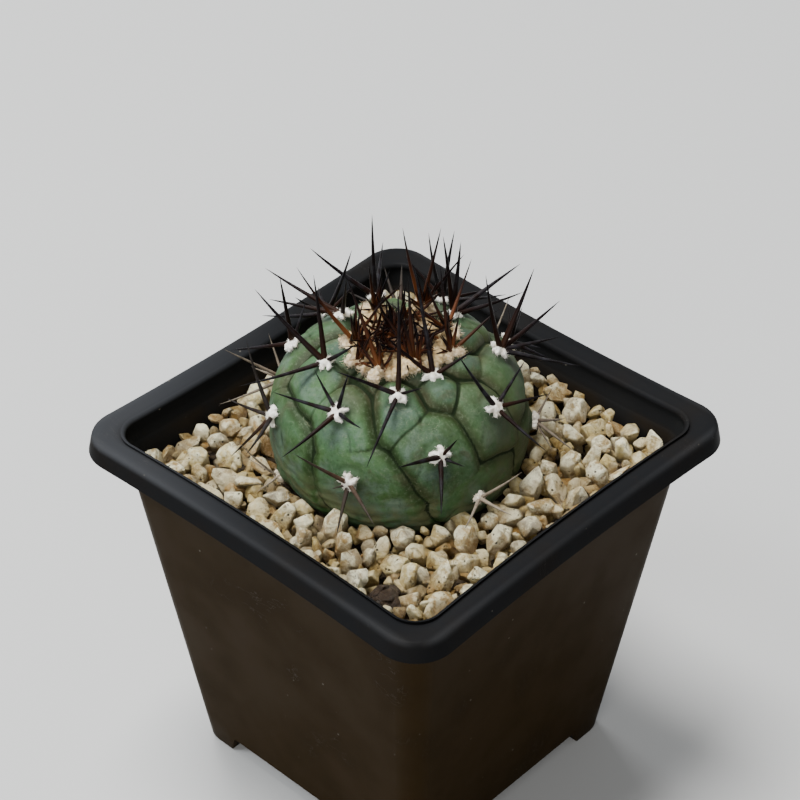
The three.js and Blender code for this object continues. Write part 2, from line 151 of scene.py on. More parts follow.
# A node with its settings; inputs are set by name or index, or linked when the value is a socket
def add(tree, kind, inputs=None, **settings):
    node = tree.nodes.new(kind)
    for label, value in settings.items():
        setattr(node, label, value)
    for key, value in (inputs or {}).items():
        if isinstance(value, bpy.types.NodeSocket):
            tree.links.new(value, node.inputs[key])
        else:
            node.inputs[key].default_value = value
    return node


def calc(tree, operation, a, b=0.0, clamp=False):
    return add(tree, "ShaderNodeMath", {0: a, 1: b}, operation=operation, use_clamp=clamp).outputs[0]


def times(tree, *values):
    product = values[0]
    for value in values[1:]:
        product = calc(tree, "MULTIPLY", product, value)
    return product


def named(group, name):
    return add(group, "GeometryNodeInputNamedAttribute", {"Name": name}, data_type="FLOAT").outputs["Attribute"]


def randomTurn(group, lean, seed):  # any turn round Z, and a lean of up to so much round X and Y
    most = add(group, "ShaderNodeCombineXYZ", {0: lean, 1: lean, 2: math.pi}).outputs[0]
    least = add(group, "ShaderNodeVectorMath", {0: most, 1: (-1, -1, -1)}, operation="MULTIPLY").outputs[0]
    turn = add(group, "FunctionNodeRandomValue", {0: least, 1: most, "Seed": seed}, data_type="FLOAT_VECTOR")
    return add(group, "FunctionNodeEulerToRotation", {0: turn.outputs[0]}).outputs[0]


def ended(group, node, material):
    real = add(group, "GeometryNodeRealizeInstances", {0: node.outputs[0]})
    dressed = add(group, "GeometryNodeSetMaterial", {"Geometry": real.outputs[0], "Material": material})
    add(group, "NodeGroupOutput", {0: dressed.outputs[0]})
    return group


# The plain mesh that a node group makes from a source object, which is then removed
def grown(source, group, sizes):
    modifier = source.modifiers.new(group.name, "NODES")
    modifier.node_group = group
    for item in group.interface.items_tree:
        if item.in_out == "INPUT" and item.name in sizes:
            modifier[item.identifier] = sizes[item.name]
    mesh = evaluated(source)
    source.modifiers.remove(modifier)
    bpy.data.objects.remove(source)
    return mesh


def finished(piece, slot, *nodes):
    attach(piece, "root")
    if nodes:
        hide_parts(*nodes)
    return piece


# Helpers for materials

def newMaterial(name, roughness=0.5, **sockets):
    material = bpy.data.materials.new(name)
    material.use_nodes = True
    tree = material.node_tree
    shader = tree.nodes["Principled BSDF"]
    shader.inputs["Roughness"].default_value = roughness
    for label, value in sockets.items():
        shader.inputs[label.replace("_", " ")].default_value = value
    return material, tree, shader


def placeIn(tree, scale=(1, 1, 1), turn=(0, 0, 0)):  # places are object coordinates in millimetres
    spot = add(tree, "ShaderNodeTexCoord").outputs["Object"]
    inputs = {"Vector": spot, "Rotation": turn, "Scale": tuple(1000 * s for s in scale)}
    return add(tree, "ShaderNodeMapping", inputs).outputs[0]


def cloud(tree, place, scale, detail=2.0, roughness=0.5, distortion=0.0):
    inputs = {"Vector": place, "Scale": scale, "Detail": detail, "Roughness": roughness, "Distortion": distortion}
    return add(tree, "ShaderNodeTexNoise", inputs).outputs[0]


def cells(tree, place, scale, feature="F1", randomness=1.0):
    inputs = {"Vector": place, "Scale": scale, "Randomness": randomness}
    return add(tree, "ShaderNodeTexVoronoi", inputs, feature=feature)


def span(tree, value, low, high, toLow=0.0, toHigh=1.0):
    inputs = {0: value, 1: low, 2: high, 3: toLow, 4: toHigh}
    return add(tree, "ShaderNodeMapRange", inputs, interpolation_type="SMOOTHSTEP").outputs[0]


def blended(tree, share, a, b, blend="MIX"):
    tinted = [c if isinstance(c, bpy.types.NodeSocket) else (*c, 1) for c in (a, b)]
    node = add(tree, "ShaderNodeMix", {0: share, 6: tinted[0], 7: tinted[1]}, data_type="RGBA", blend_type=blend)
    return node.outputs[2]


# Lays named tints over a colour, each by the share of it that shows
def layered(tree, colour, tints, **shares):
    for name, share in shares.items():
        colour = blended(tree, share, colour, tints[name])
    return colour


def ramp(tree, value, stops):
    node = add(tree, "ShaderNodeValToRGB", {0: value})
    while len(node.color_ramp.elements) < len(stops):
        node.color_ramp.elements.new(0.5)
    for element, (spot, colour) in zip(node.color_ramp.elements, stops):
        element.position = spot
        element.color = (*colour, 1)
    return node.outputs[0]


def coordinates(tree, place):
    return add(tree, "ShaderNodeSeparateXYZ", {0: place}).outputs


def toRight(tree, parts):  # distance to the right of the pot's middle, on the side that shows
    angle = math.radians(front)
    return calc(tree, "ADD", times(tree, parts[0], -math.sin(angle)), times(tree, parts[1], math.cos(angle)))


def hairline(tree, value, width):  # thin lines where a cloud crosses its middle value
    off = calc(tree, "ABSOLUTE", calc(tree, "SUBTRACT", value, 0.5))
    return span(tree, off, 0.0, width, 1, 0)


def dots(tree, place, scale, small, large):
    return span(tree, cells(tree, place, scale).outputs["Distance"], small, large, 1, 0)


def mark(tree, name):
    return add(tree, "ShaderNodeAttribute", attribute_name=name).outputs["Fac"]


def bump(tree, shader, height, depth, strength=1.0):
    inputs = {"Height": height, "Distance": depth * mm, "Strength": strength}
    tree.links.new(add(tree, "ShaderNodeBump", inputs).outputs[0], shader.inputs["Normal"])


def colourBy(tree, shader, colour, roughness=None):
    tree.links.new(colour, shader.inputs["Base Color"])
    if roughness is not None:
        tree.links.new(roughness, shader.inputs["Roughness"])


# Camera, light and floor

view = {
    "azimuth": 43.02,
    "elevation": 38.34,
    "roll": 0.21,
    "place": (255.07, -274.97, 385.10),
    "lens": 112.5,  # on a sensor 36 mm wide
}


def makeCamera():
    azimuth, elevation, roll = (math.radians(view[k]) for k in ("azimuth", "elevation", "roll"))
    back = Vector((math.sin(azimuth) * math.cos(elevation), -math.cos(azimuth) * math.cos(elevation),
                   math.sin(elevation)))
    right = Vector((math.cos(azimuth), math.sin(azimuth), 0))
    up = back.cross(right)
    right, up = (math.cos(roll) * right + math.sin(roll) * up, math.cos(roll) * up - math.sin(roll) * right)
    data = bpy.data.cameras.new("camera")
    data.lens = view["lens"]
    data.sensor_width = 36
    data.clip_start = 0.01
    camera = bpy.data.objects.new("camera", data)
    turned = Matrix((right, up, back)).transposed().to_4x4()
    camera.matrix_world = Matrix.Translation(Vector(view["place"]) * mm) @ turned
    bpy.context.scene.collection.objects.link(camera)
    bpy.context.scene.camera = camera


# Each light: place in metres as right, near and up from the pot, seen from the camera; width; watts; tint
lights = {
    "window": ((-1.05, 0.25, 1.2), 0.6, 18, (0.95, 0.98, 1.0)),
    "ceiling": ((-0.3, -0.15, 1.6), 0.6, 51, (1.0, 0.985, 0.955)),
    "front fill": ((-0.2, 1.4, 0.75), 1.2, 17, (1.0, 0.97, 0.92)),
    "back glow": ((-0.5, -1.15, 1.0), 0.5, 7.0, (0.98, 0.99, 1.0)),
}
room = {"grey": (0.86, 0.9, 0.95), "strength": 0.26, "floor": (0.44, 0.447, 0.45), "floorSize": 6.0}


def makeLights():
    azimuth = math.radians(view["azimuth"])
    right = Vector((math.cos(azimuth), math.sin(azimuth), 0))
    near = Vector((math.sin(azimuth), -math.cos(azimuth), 0))
    aim = Vector((0, 0, 0.07))
    for name, (spot, width, watts, tint) in lights.items():
        data = bpy.data.lights.new(name, "AREA")
        data.size, data.energy, data.color = width, watts, tint
        lamp = bpy.data.objects.new(name, data)
        lamp.location = right * spot[0] + near * spot[1] + Vector((0, 0, spot[2]))
        lamp.rotation_euler = (lamp.location - aim).to_track_quat("Z", "Y").to_euler()
        bpy.context.scene.collection.objects.link(lamp)
    world = bpy.data.worlds.new("room")
    world.use_nodes = True
    sky = world.node_tree.nodes["Background"]
    sky.inputs["Color"].default_value = (*room["grey"], 1)
    sky.inputs["Strength"].default_value = room["strength"]
    bpy.context.scene.world = world


def makeFloor():
    material, _, shader = newMaterial("pale floor", roughness=0.8)
    shader.inputs["Base Color"].default_value = (*room["floor"], 1)
    half, z = room["floorSize"] / 2 / mm, -0.05
    mesh = meshFrom("floor", [(-half, -half, z), (half, -half, z), (half, half, z), (-half, half, z)], [(0, 1, 2, 3)])
    linked("floor", mesh, material)


makeCamera()
makeLights()
makeFloor()
print("camera, lights and floor are set")


# The pot: a thin tapered wall, a rim with a lip, a step for stacking, and feet with arches between them

pot = {
    "height": 82.1,
    "rimHalf": 45,
    "rimCorner": 7.5,
    "lipHeight": 4.3,
    "lipFlare": 0.7,
    "flange": 1.2,
    "openingHalf": 39.6,
    "openingCorner": 4.9,
    "wallHalf": (30, 40.4),  # at the base and at the top
    "wallCorner": (4.2, 5.6),
    "wall": 1.3,
    "collar": 0.8,
    "stepDepth": 5,
    "stepSlope": 0.6,
    "sideBow": 0.9,
    "edgeRound": 0.9,
    "foot": 4.6,
    "footWidth": 8,
    "archSlope": 2,
    "floor": 1.4,
    "drains": ((0, 0, 5), (14, 0, 3.5), (-14, 0, 3.5), (0, 14, 3.5), (0, -14, 3.5)),
    "sideSteps": 12,
    "cornerSteps": 10,
    "tints": {
        # the walls' warm brown: partly the plastic's own dark colour, partly a painted reflection of a warm wooden
        # table below
        "wall": (0.0172, 0.0100, 0.0030),
        "rim": (0.0062, 0.0065, 0.0072),
        "cloudy": (0.0095, 0.0062, 0.0028),
        "film": (0.02, 0.015, 0.010),
        "inside": (0.0085, 0.0088, 0.009),
        # dust with a painted sheen, on the rim's top towards the left of the side that shows
        "dusty": (0.029, 0.031, 0.035),
        # chips along the rim's outer edge, with a painted highlight along it
        "chafed": (0.085, 0.088, 0.094),
        # wear with a painted sheen near the rim's outer edge
        "worn": (0.05, 0.052, 0.056),
        "scratch": (0.12, 0.11, 0.10),
        "speck": (0.13, 0.12, 0.10),
    },
}


def squareRing(half, corner, z, bow):
    straight = half - corner
    ring = []
    for side in range(4):
        c, s = ((1, 0), (0, 1), (-1, 0), (0, -1))[side]
        along = np.linspace(-1, 1, pot["sideSteps"] + 1)
        spots = [(half - bow * (1 - a * a), straight * a) for a in along]
        angles = np.linspace(0, math.pi / 2, pot["cornerSteps"] + 1)[1:-1]
        spots += [(straight + corner * math.cos(a), straight + corner * math.sin(a)) for a in angles]
        ring += [(x * c - y * s, x * s + y * c, z) for x, y in spots]
    return np.array(ring)


def wallRing(z, inset):
    up = z / pot["height"]
    half, corner = mixed(*pot["wallHalf"], up) - inset, mixed(*pot["wallCorner"], up) - inset
    return squareRing(half, corner, z, pot["sideBow"] * up)


def rounding(radius, steps):  # from 0 to 1 across and up a quarter circle
    angles = np.linspace(0, math.pi / 2, steps + 1)
    return [(radius * (1 - math.cos(a)), radius * (1 - math.sin(a))) for a in angles]


def plasticMaterial():
    material, tree, shader = newMaterial("black plastic", roughness=0.4, Specular_IOR_Level=0.015)
    place, tints, top, edge = placeIn(tree), pot["tints"], pot["height"], pot["rimHalf"]
    parts = coordinates(tree, place)
    height = parts[2]
    across, along = (calc(tree, "ABSOLUTE", parts[k]) for k in (0, 1))
    out = calc(tree, "MAXIMUM", across, along)
    patches, film = cloud(tree, place, 0.07, 3), span(tree, cloud(tree, place, 0.9, 7, 0.72), 0.5, 0.8)
    specks = times(tree, dots(tree, place, 0.3, 0.03, 0.09), span(tree, cloud(tree, place, 0.31, 1), 0.55, 0.62))
    streaks = cloud(tree, placeIn(tree, (0.09, 0.9, 0.16), (0.5, 0.35, 0.7)), 1.0, 4, 0.6)
    scratch = times(tree, hairline(tree, streaks, 0.004), span(tree, patches, 0.58, 0.68))
    onTop = span(tree, height, top - 1.3, top - 0.2)

    # The inside lies within a square that is tapered, bowed and rounded as the outer wall is
    taper = (pot["wallHalf"][1] - pot["wallHalf"][0]) / top
    outerWall = calc(tree, "ADD", times(tree, height, taper), pot["wallHalf"][0])
    straight, opening, step = 34.0, pot["openingHalf"], top - pot["stepDepth"]
    bow = calc(tree, "POWER", calc(tree, "DIVIDE", calc(tree, "MINIMUM", across, along), straight), 2.0)
    bow = times(tree, calc(tree, "SUBTRACT", 1.0, bow), pot["sideBow"])
    corner = calc(tree, "ADD", times(tree, calc(tree, "ADD", across, along), 0.5), 1.4)
    squared = calc(tree, "MAXIMUM", calc(tree, "ADD", out, bow), corner)
    below = span(tree, calc(tree, "SUBTRACT", squared, outerWall), -0.6, -0.75)
    upper = times(tree, span(tree, out, opening + 1.4, opening + 0.6), span(tree, height, step + 0.3, step + 0.8))
    inside = times(tree, calc(tree, "MAXIMUM", below, upper), span(tree, height, top - 0.7, top - 1.5))

    # Below the rim the walls take the warm brown, which is partly a painted reflection of a wooden table
    colour = layered(
        tree, blended(tree, span(tree, height, top - 6, top - 4), tints["wall"], tints["rim"]), tints,
        cloudy=span(tree, patches, 0.4, 0.8, 0, 0.4),
        film=times(tree, film, 0.14),
        inside=times(tree, inside, span(tree, patches, 0.35, 0.65, 0.6, 1.0)),
        # dust and a painted sheen on the rim's top, growing towards the left
        dusty=times(tree, onTop, span(tree, toRight(tree, parts), -15, -60, 0.05, 0.8)),
        # a thin light line along the rim's outer edge: chips and a painted highlight
        chafed=times(tree, span(tree, out, edge - 0.5, edge + 0.1), span(tree, film, 0.25, 0.7),
                     span(tree, height, top - 0.9, top - 0.5), 0.8),
        # a lighter band on the rim's top near its outer edge: wear and a painted sheen
        worn=times(tree, onTop, span(tree, out, edge - 2.2, edge - 0.6), 0.15),
        scratch=times(tree, scratch, 0.3),
        speck=times(tree, specks, 0.7))
    colourBy(tree, shader, colour, span(tree, patches, 0.3, 0.7, 0.36, 0.5))
    grain = calc(tree, "ADD", cloud(tree, place, 5.0, 2), times(tree, specks, 1.5))
    bump(tree, shader, calc(tree, "SUBTRACT", grain, scratch), 0.02, 0.6)
    return material


def makePot():
    top, edge = pot["height"], pot["edgeRound"]
    lipBottom, under, flare = top - pot["lipHeight"], top - pot["flange"], pot["lipFlare"]
    stepTop = top - pot["stepDepth"]

    def rim(inset, z):
        return squareRing(pot["rimHalf"] - inset, pot["rimCorner"] - inset, z, pot["sideBow"])

    rings = [wallRing(0.01, 0.5), wallRing(0.15, 0.15), wallRing(0.6, 0)]
    rings += [wallRing(z, 0) for z in (8, 30, 55, 72)]
    rings += [wallRing(under - 0.8, 0), wallRing(under - 0.2, -0.2), wallRing(under, -0.8)]
    rings += [rim(1.6, under), rim(1.25, under - 0.3), rim(0.5, lipBottom + 0.25), rim(0.3, lipBottom)]
    rings += [rim(-flare + 0.3, lipBottom), rim(-flare, lipBottom + 0.3), rim(-0.05, top - edge)]
    rings += [rim(across, top - down) for across, down in rounding(edge, 6)[1:]]
    rings += [rim(2.6, top)]
    inner = pot["openingHalf"]
    for down, across in reversed(rounding(0.9, 5)):
        rings.append(squareRing(inner + across, pot["openingCorner"] + across, top - down, pot["sideBow"]))
    rings += [wallRing(stepTop + 0.2, pot["collar"]), wallRing(stepTop, pot["collar"] + 0.1)]
    rings += [wallRing(stepTop - pot["stepSlope"], pot["wall"])]
    rings += [wallRing(z, pot["wall"]) for z in (60, 35, pot["foot"] + pot["floor"] + 1)]
    rings += [wallRing(pot["foot"] + pot["floor"], pot["wall"] + 1)]
    body = linked("pot", meshFrom("pot", *loft(rings)))

    cutters = []
    half = pot["wallHalf"][0] - pot["footWidth"]
    narrow = half - pot["archSlope"]
    section = [(-half, -1), (half, -1), (narrow, pot["foot"]), (-narrow, pot["foot"])]
    for turned in (False, True):
        ends = [[(x, y, z) if turned else (-y, x, z) for x, z in section] for y in (-45, 45)]
        points = np.array(ends[0] + ends[1])
        faces = [(0, 1, 2, 3), (7, 6, 5, 4), (0, 4, 5, 1), (1, 5, 6, 2), (2, 6, 7, 3), (3, 7, 4, 0)]
        cutters.append(linked("cutter", meshFrom("cutter", points, faces)))
    for x, y, radius in pot["drains"]:
        bpy.ops.mesh.primitive_cylinder_add(vertices=32, radius=radius * mm, depth=8 * mm,
                                            location=(x * mm, y * mm, (pot["foot"] + 0.7) * mm))
        cutters.append(bpy.context.object)
    for cutter in cutters:
        whole = bmesh.new()
        whole.from_mesh(cutter.data)
        bmesh.ops.recalc_face_normals(whole, faces=whole.faces)
        whole.to_mesh(cutter.data)
        whole.free()
        cut = body.modifiers.new("cut", "BOOLEAN")
        cut.operation, cut.object, cut.solver = "DIFFERENCE", cutter, "EXACT"
    soft = body.modifiers.new("soft edges", "BEVEL")
    soft.width, soft.segments, soft.limit_method, soft.angle_limit = 0.25 * mm, 2, "ANGLE", math.radians(50)
    soft.harden_normals = False
    mesh = evaluated(body)
    for o in [body, *cutters]:
        bpy.data.objects.remove(o)
    mesh.shade_smooth()
    mesh.set_sharp_from_angle(angle=math.radians(42))
    finished(linked("square_pot", mesh, plasticMaterial()), "pot", "pot")
    print("pot:", len(mesh.polygons), "faces")


makePot()


# The potting mix keeps its solid, which shows through the drain holes

mix = {
    "crumbs": ((0.1, (0.012, 0.007, 0.004)), (0.6, (0.045, 0.027, 0.015)), (0.95, (0.12, 0.085, 0.055))),
    "fibre": (0.02, 0.012, 0.008),
}


def mixMaterial():
    material, tree, shader = newMaterial("potting mix", roughness=0.95)
    place = placeIn(tree)
    crumbs = cells(tree, place, 0.7)
    fibre = cloud(tree, placeIn(tree, (0.4, 1.6, 1.0), (0.3, 0.2, 0.9)), 1.0, 5)
    colour = ramp(tree, crumbs.outputs["Color"], mix["crumbs"])
    colourBy(tree, shader, layered(tree, colour, mix, fibre=span(tree, fibre, 0.5, 0.7, 0, 0.6)))
    bump(tree, shader, calc(tree, "SUBTRACT", fibre, crumbs.outputs["Distance"]), 0.6)
    return material


soil = frame["nodes"]["potting_mix"]
soil.data.materials.clear()
soil.data.materials.append(mixMaterial())
print("potting mix keeps its solid")


# The stem: its outline, the spiral that its tubercles stand on, and its skin

stem = {
    "place": (-4.1, 2.6),
    "radius": 25.3,
    "middle": 79.9,
    "dome": (20, 2.45),  # height and power of the outline above the widest circle
    "seat": (17, 2.39),  # and below it
    "quarterSteps": 90,
    "root": ((6.5, -17.2), (5, -22), (3.6, -28), (1.8, -34)),
    "columns": 500,
    "ringStep": 0.31,
    "buried": 46,  # arc at which the gravel covers it
}
spiral = {
    "start": 308,
    "turn": -99.5,
    "last": 36,
    "firstAreole": 8,  # those before it are in the crown
    "lastAreole": 29,
    "height": (2.7, 0.6),  # of a tubercle, near the crown and near the gravel
    "fade": (11, 31),  # arcs between which the height goes from one to the other
    "shoulder": (4.6, 3.2),  # from a crease up to the full height
    "ribPartner": 7,  # a tubercle runs into the one seven further on
    "ribJoin": (0.6, 4.5),
    "crease": 0.85,  # share of the height that lies below the smooth outline
    "chin": 3.0,  # a tubercle's middle lies this far below its areole
    "tip": (0.7, 2.6),  # height and width of the rise under an areole
    "blend": 0.55,
    "wander": (1.0, 0.15),  # how far creases stray, and how often in a millimetre
    "crossed": {3: 0.7, 4: 0.6, 7: 0.5, 10: 1.0, 11: 0.4, 14: 0.55, 18: 0.1, 21: 0.05},  # folds below these
    # Turn and distance of the middle of tubercles that show, and how much they take from their neighbours
    "taken": {0: (299, 11.2, -30), 3: (21, 10.2, -27), 6: (78, 13.9, -11), 7: (-20, 15.4, -16), 10: (29, 16.1, -13),
              11: (-67, 17.5, 3), 13: (86, 22.4, 20), 14: (-2, 17.8, 14), 17: (51, 22.2, 5), 18: (-27, 19.8, 12),
              21: (17, 24.5, 16), 22: (-68, 34.1, 27), 25: (-16, 33.0, 9), 28: (39, 42.2, -9)},
}
skin = {
    "groove": (0.2, 0.6),  # depth and half width of the narrow groove in a crease
    "line": (0.42, 0.24),  # half width of the dark line in it, near the crown and lower down
    "lineArcs": (12, 30),
    "fold": (0.16, 0.36),
    "pucker": (0.3, 2.5, 0.8),  # depth, distance from an areole, half width
    "smudge": (4.2, 3.0),  # painted shade below an areole: its distance below the areole, and its width
    "lumps": (0.16, 0.33),  # height, and how often in a millimetre
    "grain": (0.05, 0.9),
    "ripple": (0.1, 2.6),  # on the oldest skin
    "wander": 0.13,  # how often the creases fade and the ripples bend
    "young": (14, 26),  # arcs between which the skin stops being young, and those at which it becomes old
    "old": (30, 44),
    "upperEnd": (21, 27),  # arcs between which the darker tint above the areoles ends
    "tints": {
        "green": (0.040, 0.090, 0.022),
        "blueGreen": (0.046, 0.106, 0.046),
        "dull": (0.034, 0.068, 0.034),
        "bloom": (0.078, 0.120, 0.090),
        "upper": (0.036, 0.050, 0.020),  # above an areole
        # painted shade below an areole, under its wool and spines
        "smudge": (0.040, 0.066, 0.056),
        "olive": (0.018, 0.044, 0.008),  # towards the creases: partly the skin's own olive, partly painted shade in the valleys
        "shade": (0.012, 0.024, 0.006),
        "brown": (0.046, 0.048, 0.024),
        "light": (0.105, 0.14, 0.088),
        "dark": (0.014, 0.028, 0.008),
        # browner to the right of the side that shows: partly dry skin, partly painted shade on the side turned from
        # the light
        "dry": (0.056, 0.063, 0.028),
        "corky": (0.090, 0.098, 0.050),
        # painted shade round each areole, where its wool and spines shade the skin
        "tip": (0.028, 0.046, 0.026),
        # painted shade along the narrow groove of each crease and fold
        "crease": (0.004, 0.010, 0.002),
        "fleck": (0.26, 0.27, 0.2),
        "scar": (0.2, 0.21, 0.14),
    },
    "youngTints": ((0.020, 0.026, 0.008), (0.034, 0.030, 0.014)),  # painted shade in the creases near the crown, in two tones
}

# Each areole that shows: turn, distance from the crown, and spines as clock direction, lean and length
shown = {
    8: (-129, 14.2, ((169, 54, 18), (150, 66, 14.5), (20, 40, 12))),
    9: (135, 14.8, ((14, 27, 18), (352, 20, 17), (188, 52, 17.5), (205, 64, 15))),
    10: (32, 12, ((4, 40, 21.7), (314, 55, 12.5), (95, 60, 9))),
    11: (-68, 15.1, ((178, 68, 17.5), (243, 27, 19.5), (330, 25, 18), (40, 62, 10))),
    12: (-166, 19.8, ((1, 30, 18), (71, 50, 17), (208, 43, 14.5))),
    13: (93, 19.5, ((359, 47, 18), (195, 61, 15.5), (60, 24, 17), (126, 55, 17), (165, 50, 12))),
    14: (-1, 15.6, ((359, 43, 21), (275, 58, 13.5), (197, 75, 19), (92, 55, 5.5))),
    15: (-104, 21.9, ((184, 66, 14), (8, 39, 16.5), (330, 61, 9))),
    16: (156, 21.3, ((350, 39, 16.5), (10, 50, 17), (72, 57, 11.5), (271, 71, 13), (216, 64, 12), (137, 71, 11))),
    17: (54, 23.3, ((334, 68, 16.5), (62, 62, 10.5), (112, 66, 11), (185, 59, 13))),
    18: (-34, 21, ((261, 62, 12.5), (193, 61, 14.5), (312, 61, 9), (20, 58, 8.5), (99, 64, 9))),
    19: (-142.5, 25.3, ((220, 40, 9), (337, 72, 17), (50, 70, 11), (100, 65, 13), (160, 60, 13.5), (270, 69, 10))),
    20: (118, 26.7, ((114, 54, 12), (69, 54, 8), (204, 62, 10.5), (284, 69, 9.5), (345, 61, 9.5))),
    21: (18, 27.3, ((281, 51, 13.5), (198, 57, 11.5), (119, 57, 5), (39, 55, 5.5))),
    22: (-72, 30.1, ((332, 66, 15.5), (91, 55, 15), (248, 70, 13.5), (189, 66, 12.5))),
    23: (179.5, 31.5, ((68, 17, 13), (359, 14, 12), (147, 56, 11), (231, 59, 11), (292, 65, 12.5), (76, 69, 12.5))),
    24: (87, 36, ((312, 55, 10), (283, 60, 15), (250, 62, 8), (68, 66, 8))),
    25: (-21, 32.8, ((317, 57, 14), (179, 56, 10), (96, 43, 13), (250, 59, 3.5))),
    28: (35, 38.5, ((14, 55, 14.5), (295, 51, 15), (340, 30, 15))),
    29: (-65, 42.2, ((3, 72, 14.5), (50, 58, 11), (305, 60, 7))),
}
tufts = {2: (103, 9), 3: (18, 8.3), 4: (-79, 8.6), 5: (156, 10.2), 6: (70, 10.4), 7: (-22, 9.9)}


def stemOutline():
    quarter = np.linspace(0, math.pi / 2, stem["quarterSteps"] + 1)
    (high, highPower), (low, lowPower) = stem["dome"], stem["seat"]
    line = [(stem["radius"] * math.sin(a) ** (2 / highPower), high * math.cos(a) ** (2 / highPower))
            for a in quarter]
    for a in quarter[1:]:
        r = stem["radius"] * max(math.cos(a), 0) ** (2 / lowPower)
        if r > stem["root"][0][0]:
            line.append((r, -low * math.sin(a) ** (2 / lowPower)))
    line = np.array(line + list(stem["root"]))
    arc = np.concatenate([[0], np.cumsum(np.hypot(*np.diff(line, axis=0).T))])
    return line[:, 0], line[:, 1] + stem["middle"], arc


lineR, lineZ, lineArc = stemOutline()
rootEnd = lineArc[-1]


# Places on the smooth stem at turns and distances from the crown: place, outward, upward and sideways
def onStem(turn, arc):
    turn, arc = np.broadcast_arrays(np.asarray(turn, float), np.asarray(arc, float))
    angle = np.radians(turn + front)
    r, z = (np.interp(arc, lineArc, line) for line in (lineR, lineZ))
    dr, dz = (np.interp(arc + 0.15, lineArc, line) - np.interp(arc - 0.15, lineArc, line) for line in (lineR, lineZ))
    size = np.maximum(np.hypot(dr, dz), 1e-9)
    nothing = np.zeros_like(angle)
    outward = np.stack([np.cos(angle), np.sin(angle), nothing], -1)
    side = np.stack([-np.sin(angle), np.cos(angle), nothing], -1)
    down = outward * (dr / size)[..., None] + np.stack([nothing, nothing, dz / size], -1)
    place = outward * r[..., None] + np.stack([nothing + stem["place"][0], nothing + stem["place"][1], z], -1)
    return place, np.cross(down, side), -down, side


def areoleAt(number):
    known = shown.get(number) or tufts.get(number)
    if known:
        return known[0], known[1]
    return spiral["start"] + spiral["turn"] * number, 9.65 + 0.214 * number + 0.032 * number * number


# Distance of each place from a line through points, and how far along it the nearest spot lies
def toLine(place, points):
    least = np.full(len(place), np.inf)
    share = np.zeros(len(place))
    for k, (a, b) in enumerate(zip(points[:-1], points[1:])):
        along = np.clip(((place - a) @ (b - a)) / ((b - a) @ (b - a)), 0, 1)
        gap = np.linalg.norm(place - a - along[:, None] * (b - a), axis=1)
        share = np.where(gap < least, (k + along) / (len(points) - 1), share)
        least = np.minimum(least, gap)
    return least, share


tipTurns, tipArcs = np.array([areoleAt(number) for number in range(spiral["last"] + 1)]).T
areoleTips = onStem(tipTurns, tipArcs)[0]
middles = onStem(tipTurns, tipArcs + spiral["chin"])[0]
taken = np.zeros(spiral["last"] + 1)
for number, (turn, arc, more) in spiral["taken"].items():
    middles[number], taken[number] = onStem(turn, arc)[0], more
crossForce = np.random.default_rng(6).uniform(0, 0.45, spiral["last"] + 1)
for number, force in spiral["crossed"].items():
    crossForce[number] = force


# How far the skin stands out from the smooth stem, the distance to the nearest crease, folds across the ribs,
# each place's own tubercle, the distance to the nearest areole, how far the skin is exposed, and the distance
# to the edge of a tubercle. It is the part's own rule, with the tubercles that show fitted to their creases.
def relief(place, arc):
    place, arc = np.asarray(place, float).reshape(-1, 3), np.asarray(arc, float).reshape(-1)
    age = np.clip((arc - spiral["fade"][0]) / (spiral["fade"][1] - spiral["fade"][0]), 0, 1)
    swing = noiseVectors(place * spiral["wander"][1])
    moved = place + spiral["wander"][0] * (0.3 + 0.7 * age[:, None]) * swing
    reach = ((moved[:, None] - middles[None]) ** 2).sum(2) - taken
    near = np.argsort(reach, axis=1)[:, :7]
    own = near[:, 0]
    across, along, crossing = (np.zeros(len(place)) for _ in range(3))
    for k in range(1, 7):
        other = near[:, k]
        apart = np.linalg.norm(middles[own] - middles[other], axis=1)
        toCrease = (np.take_along_axis(reach, near[:, k:k + 1], 1) - reach.min(1, keepdims=True))[:, 0] / (2 * apart)
        joined = np.abs(other - own) == spiral["ribPartner"]
        across += np.exp(-toCrease / spiral["blend"]) * ~joined
        along += np.exp(-(toCrease + mixed(*spiral["ribJoin"], age)) / spiral["blend"]) * joined
        force = crossForce[np.minimum(own, other)]
        crossing = np.maximum(crossing, joined * force * bell(toCrease, skin["line"][0]))
    between = -spiral["blend"] * np.log(np.maximum(across, 1e-9))
    edge = np.maximum(-spiral["blend"] * np.log(np.exp(-between / spiral["blend"]) + along), -0.2)
    rise = np.minimum(edge / mixed(*spiral["shoulder"], age), 1)
    swell = mixed(*spiral["height"], age) * (rise * (2 - rise) - spiral["crease"])
    toTip = np.linalg.norm(place[:, None] - areoleTips[None], axis=2).min(1)
    swell = swell + spiral["tip"][0] * bell(toTip, spiral["tip"][1])
    exposed = smooth(arc, 4, 11) * (1 - smooth(arc, stem["buried"], 54))
    return swell * exposed, between, crossing, own, toTip, exposed, edge


def liftAt(place, arc):
    return float(relief(place, arc)[0][0])


# Short folds that run from beside an areole down across its tubercle: lines as points on the stem
def foldLines():
    draw = random.Random(12)
    lines = []
    for number in range(spiral["firstAreole"] - 2, spiral["last"]):
        turn, arc = areoleAt(number)
        for hand in (-1, 1):
            if draw.random() < 0.25:
                continue
            start = hand * draw.uniform(1.8, 3.0), draw.uniform(0.4, 2.2)
            run, drop = hand * draw.uniform(1.5, 3.8), draw.uniform(3.5, 6.5)
            points = []
            for t in np.linspace(0, 1, 5):
                across = start[0] + run * math.sin(t * math.pi / 2)
                down = arc + start[1] + drop * t ** 1.3
                radius = max(float(np.interp(down, lineArc, lineR)), 4)
                points.append(onStem(turn + math.degrees(across / radius), down)[0])
            lines.append((np.array(points), draw.uniform(0.35, 1)))
    return lines


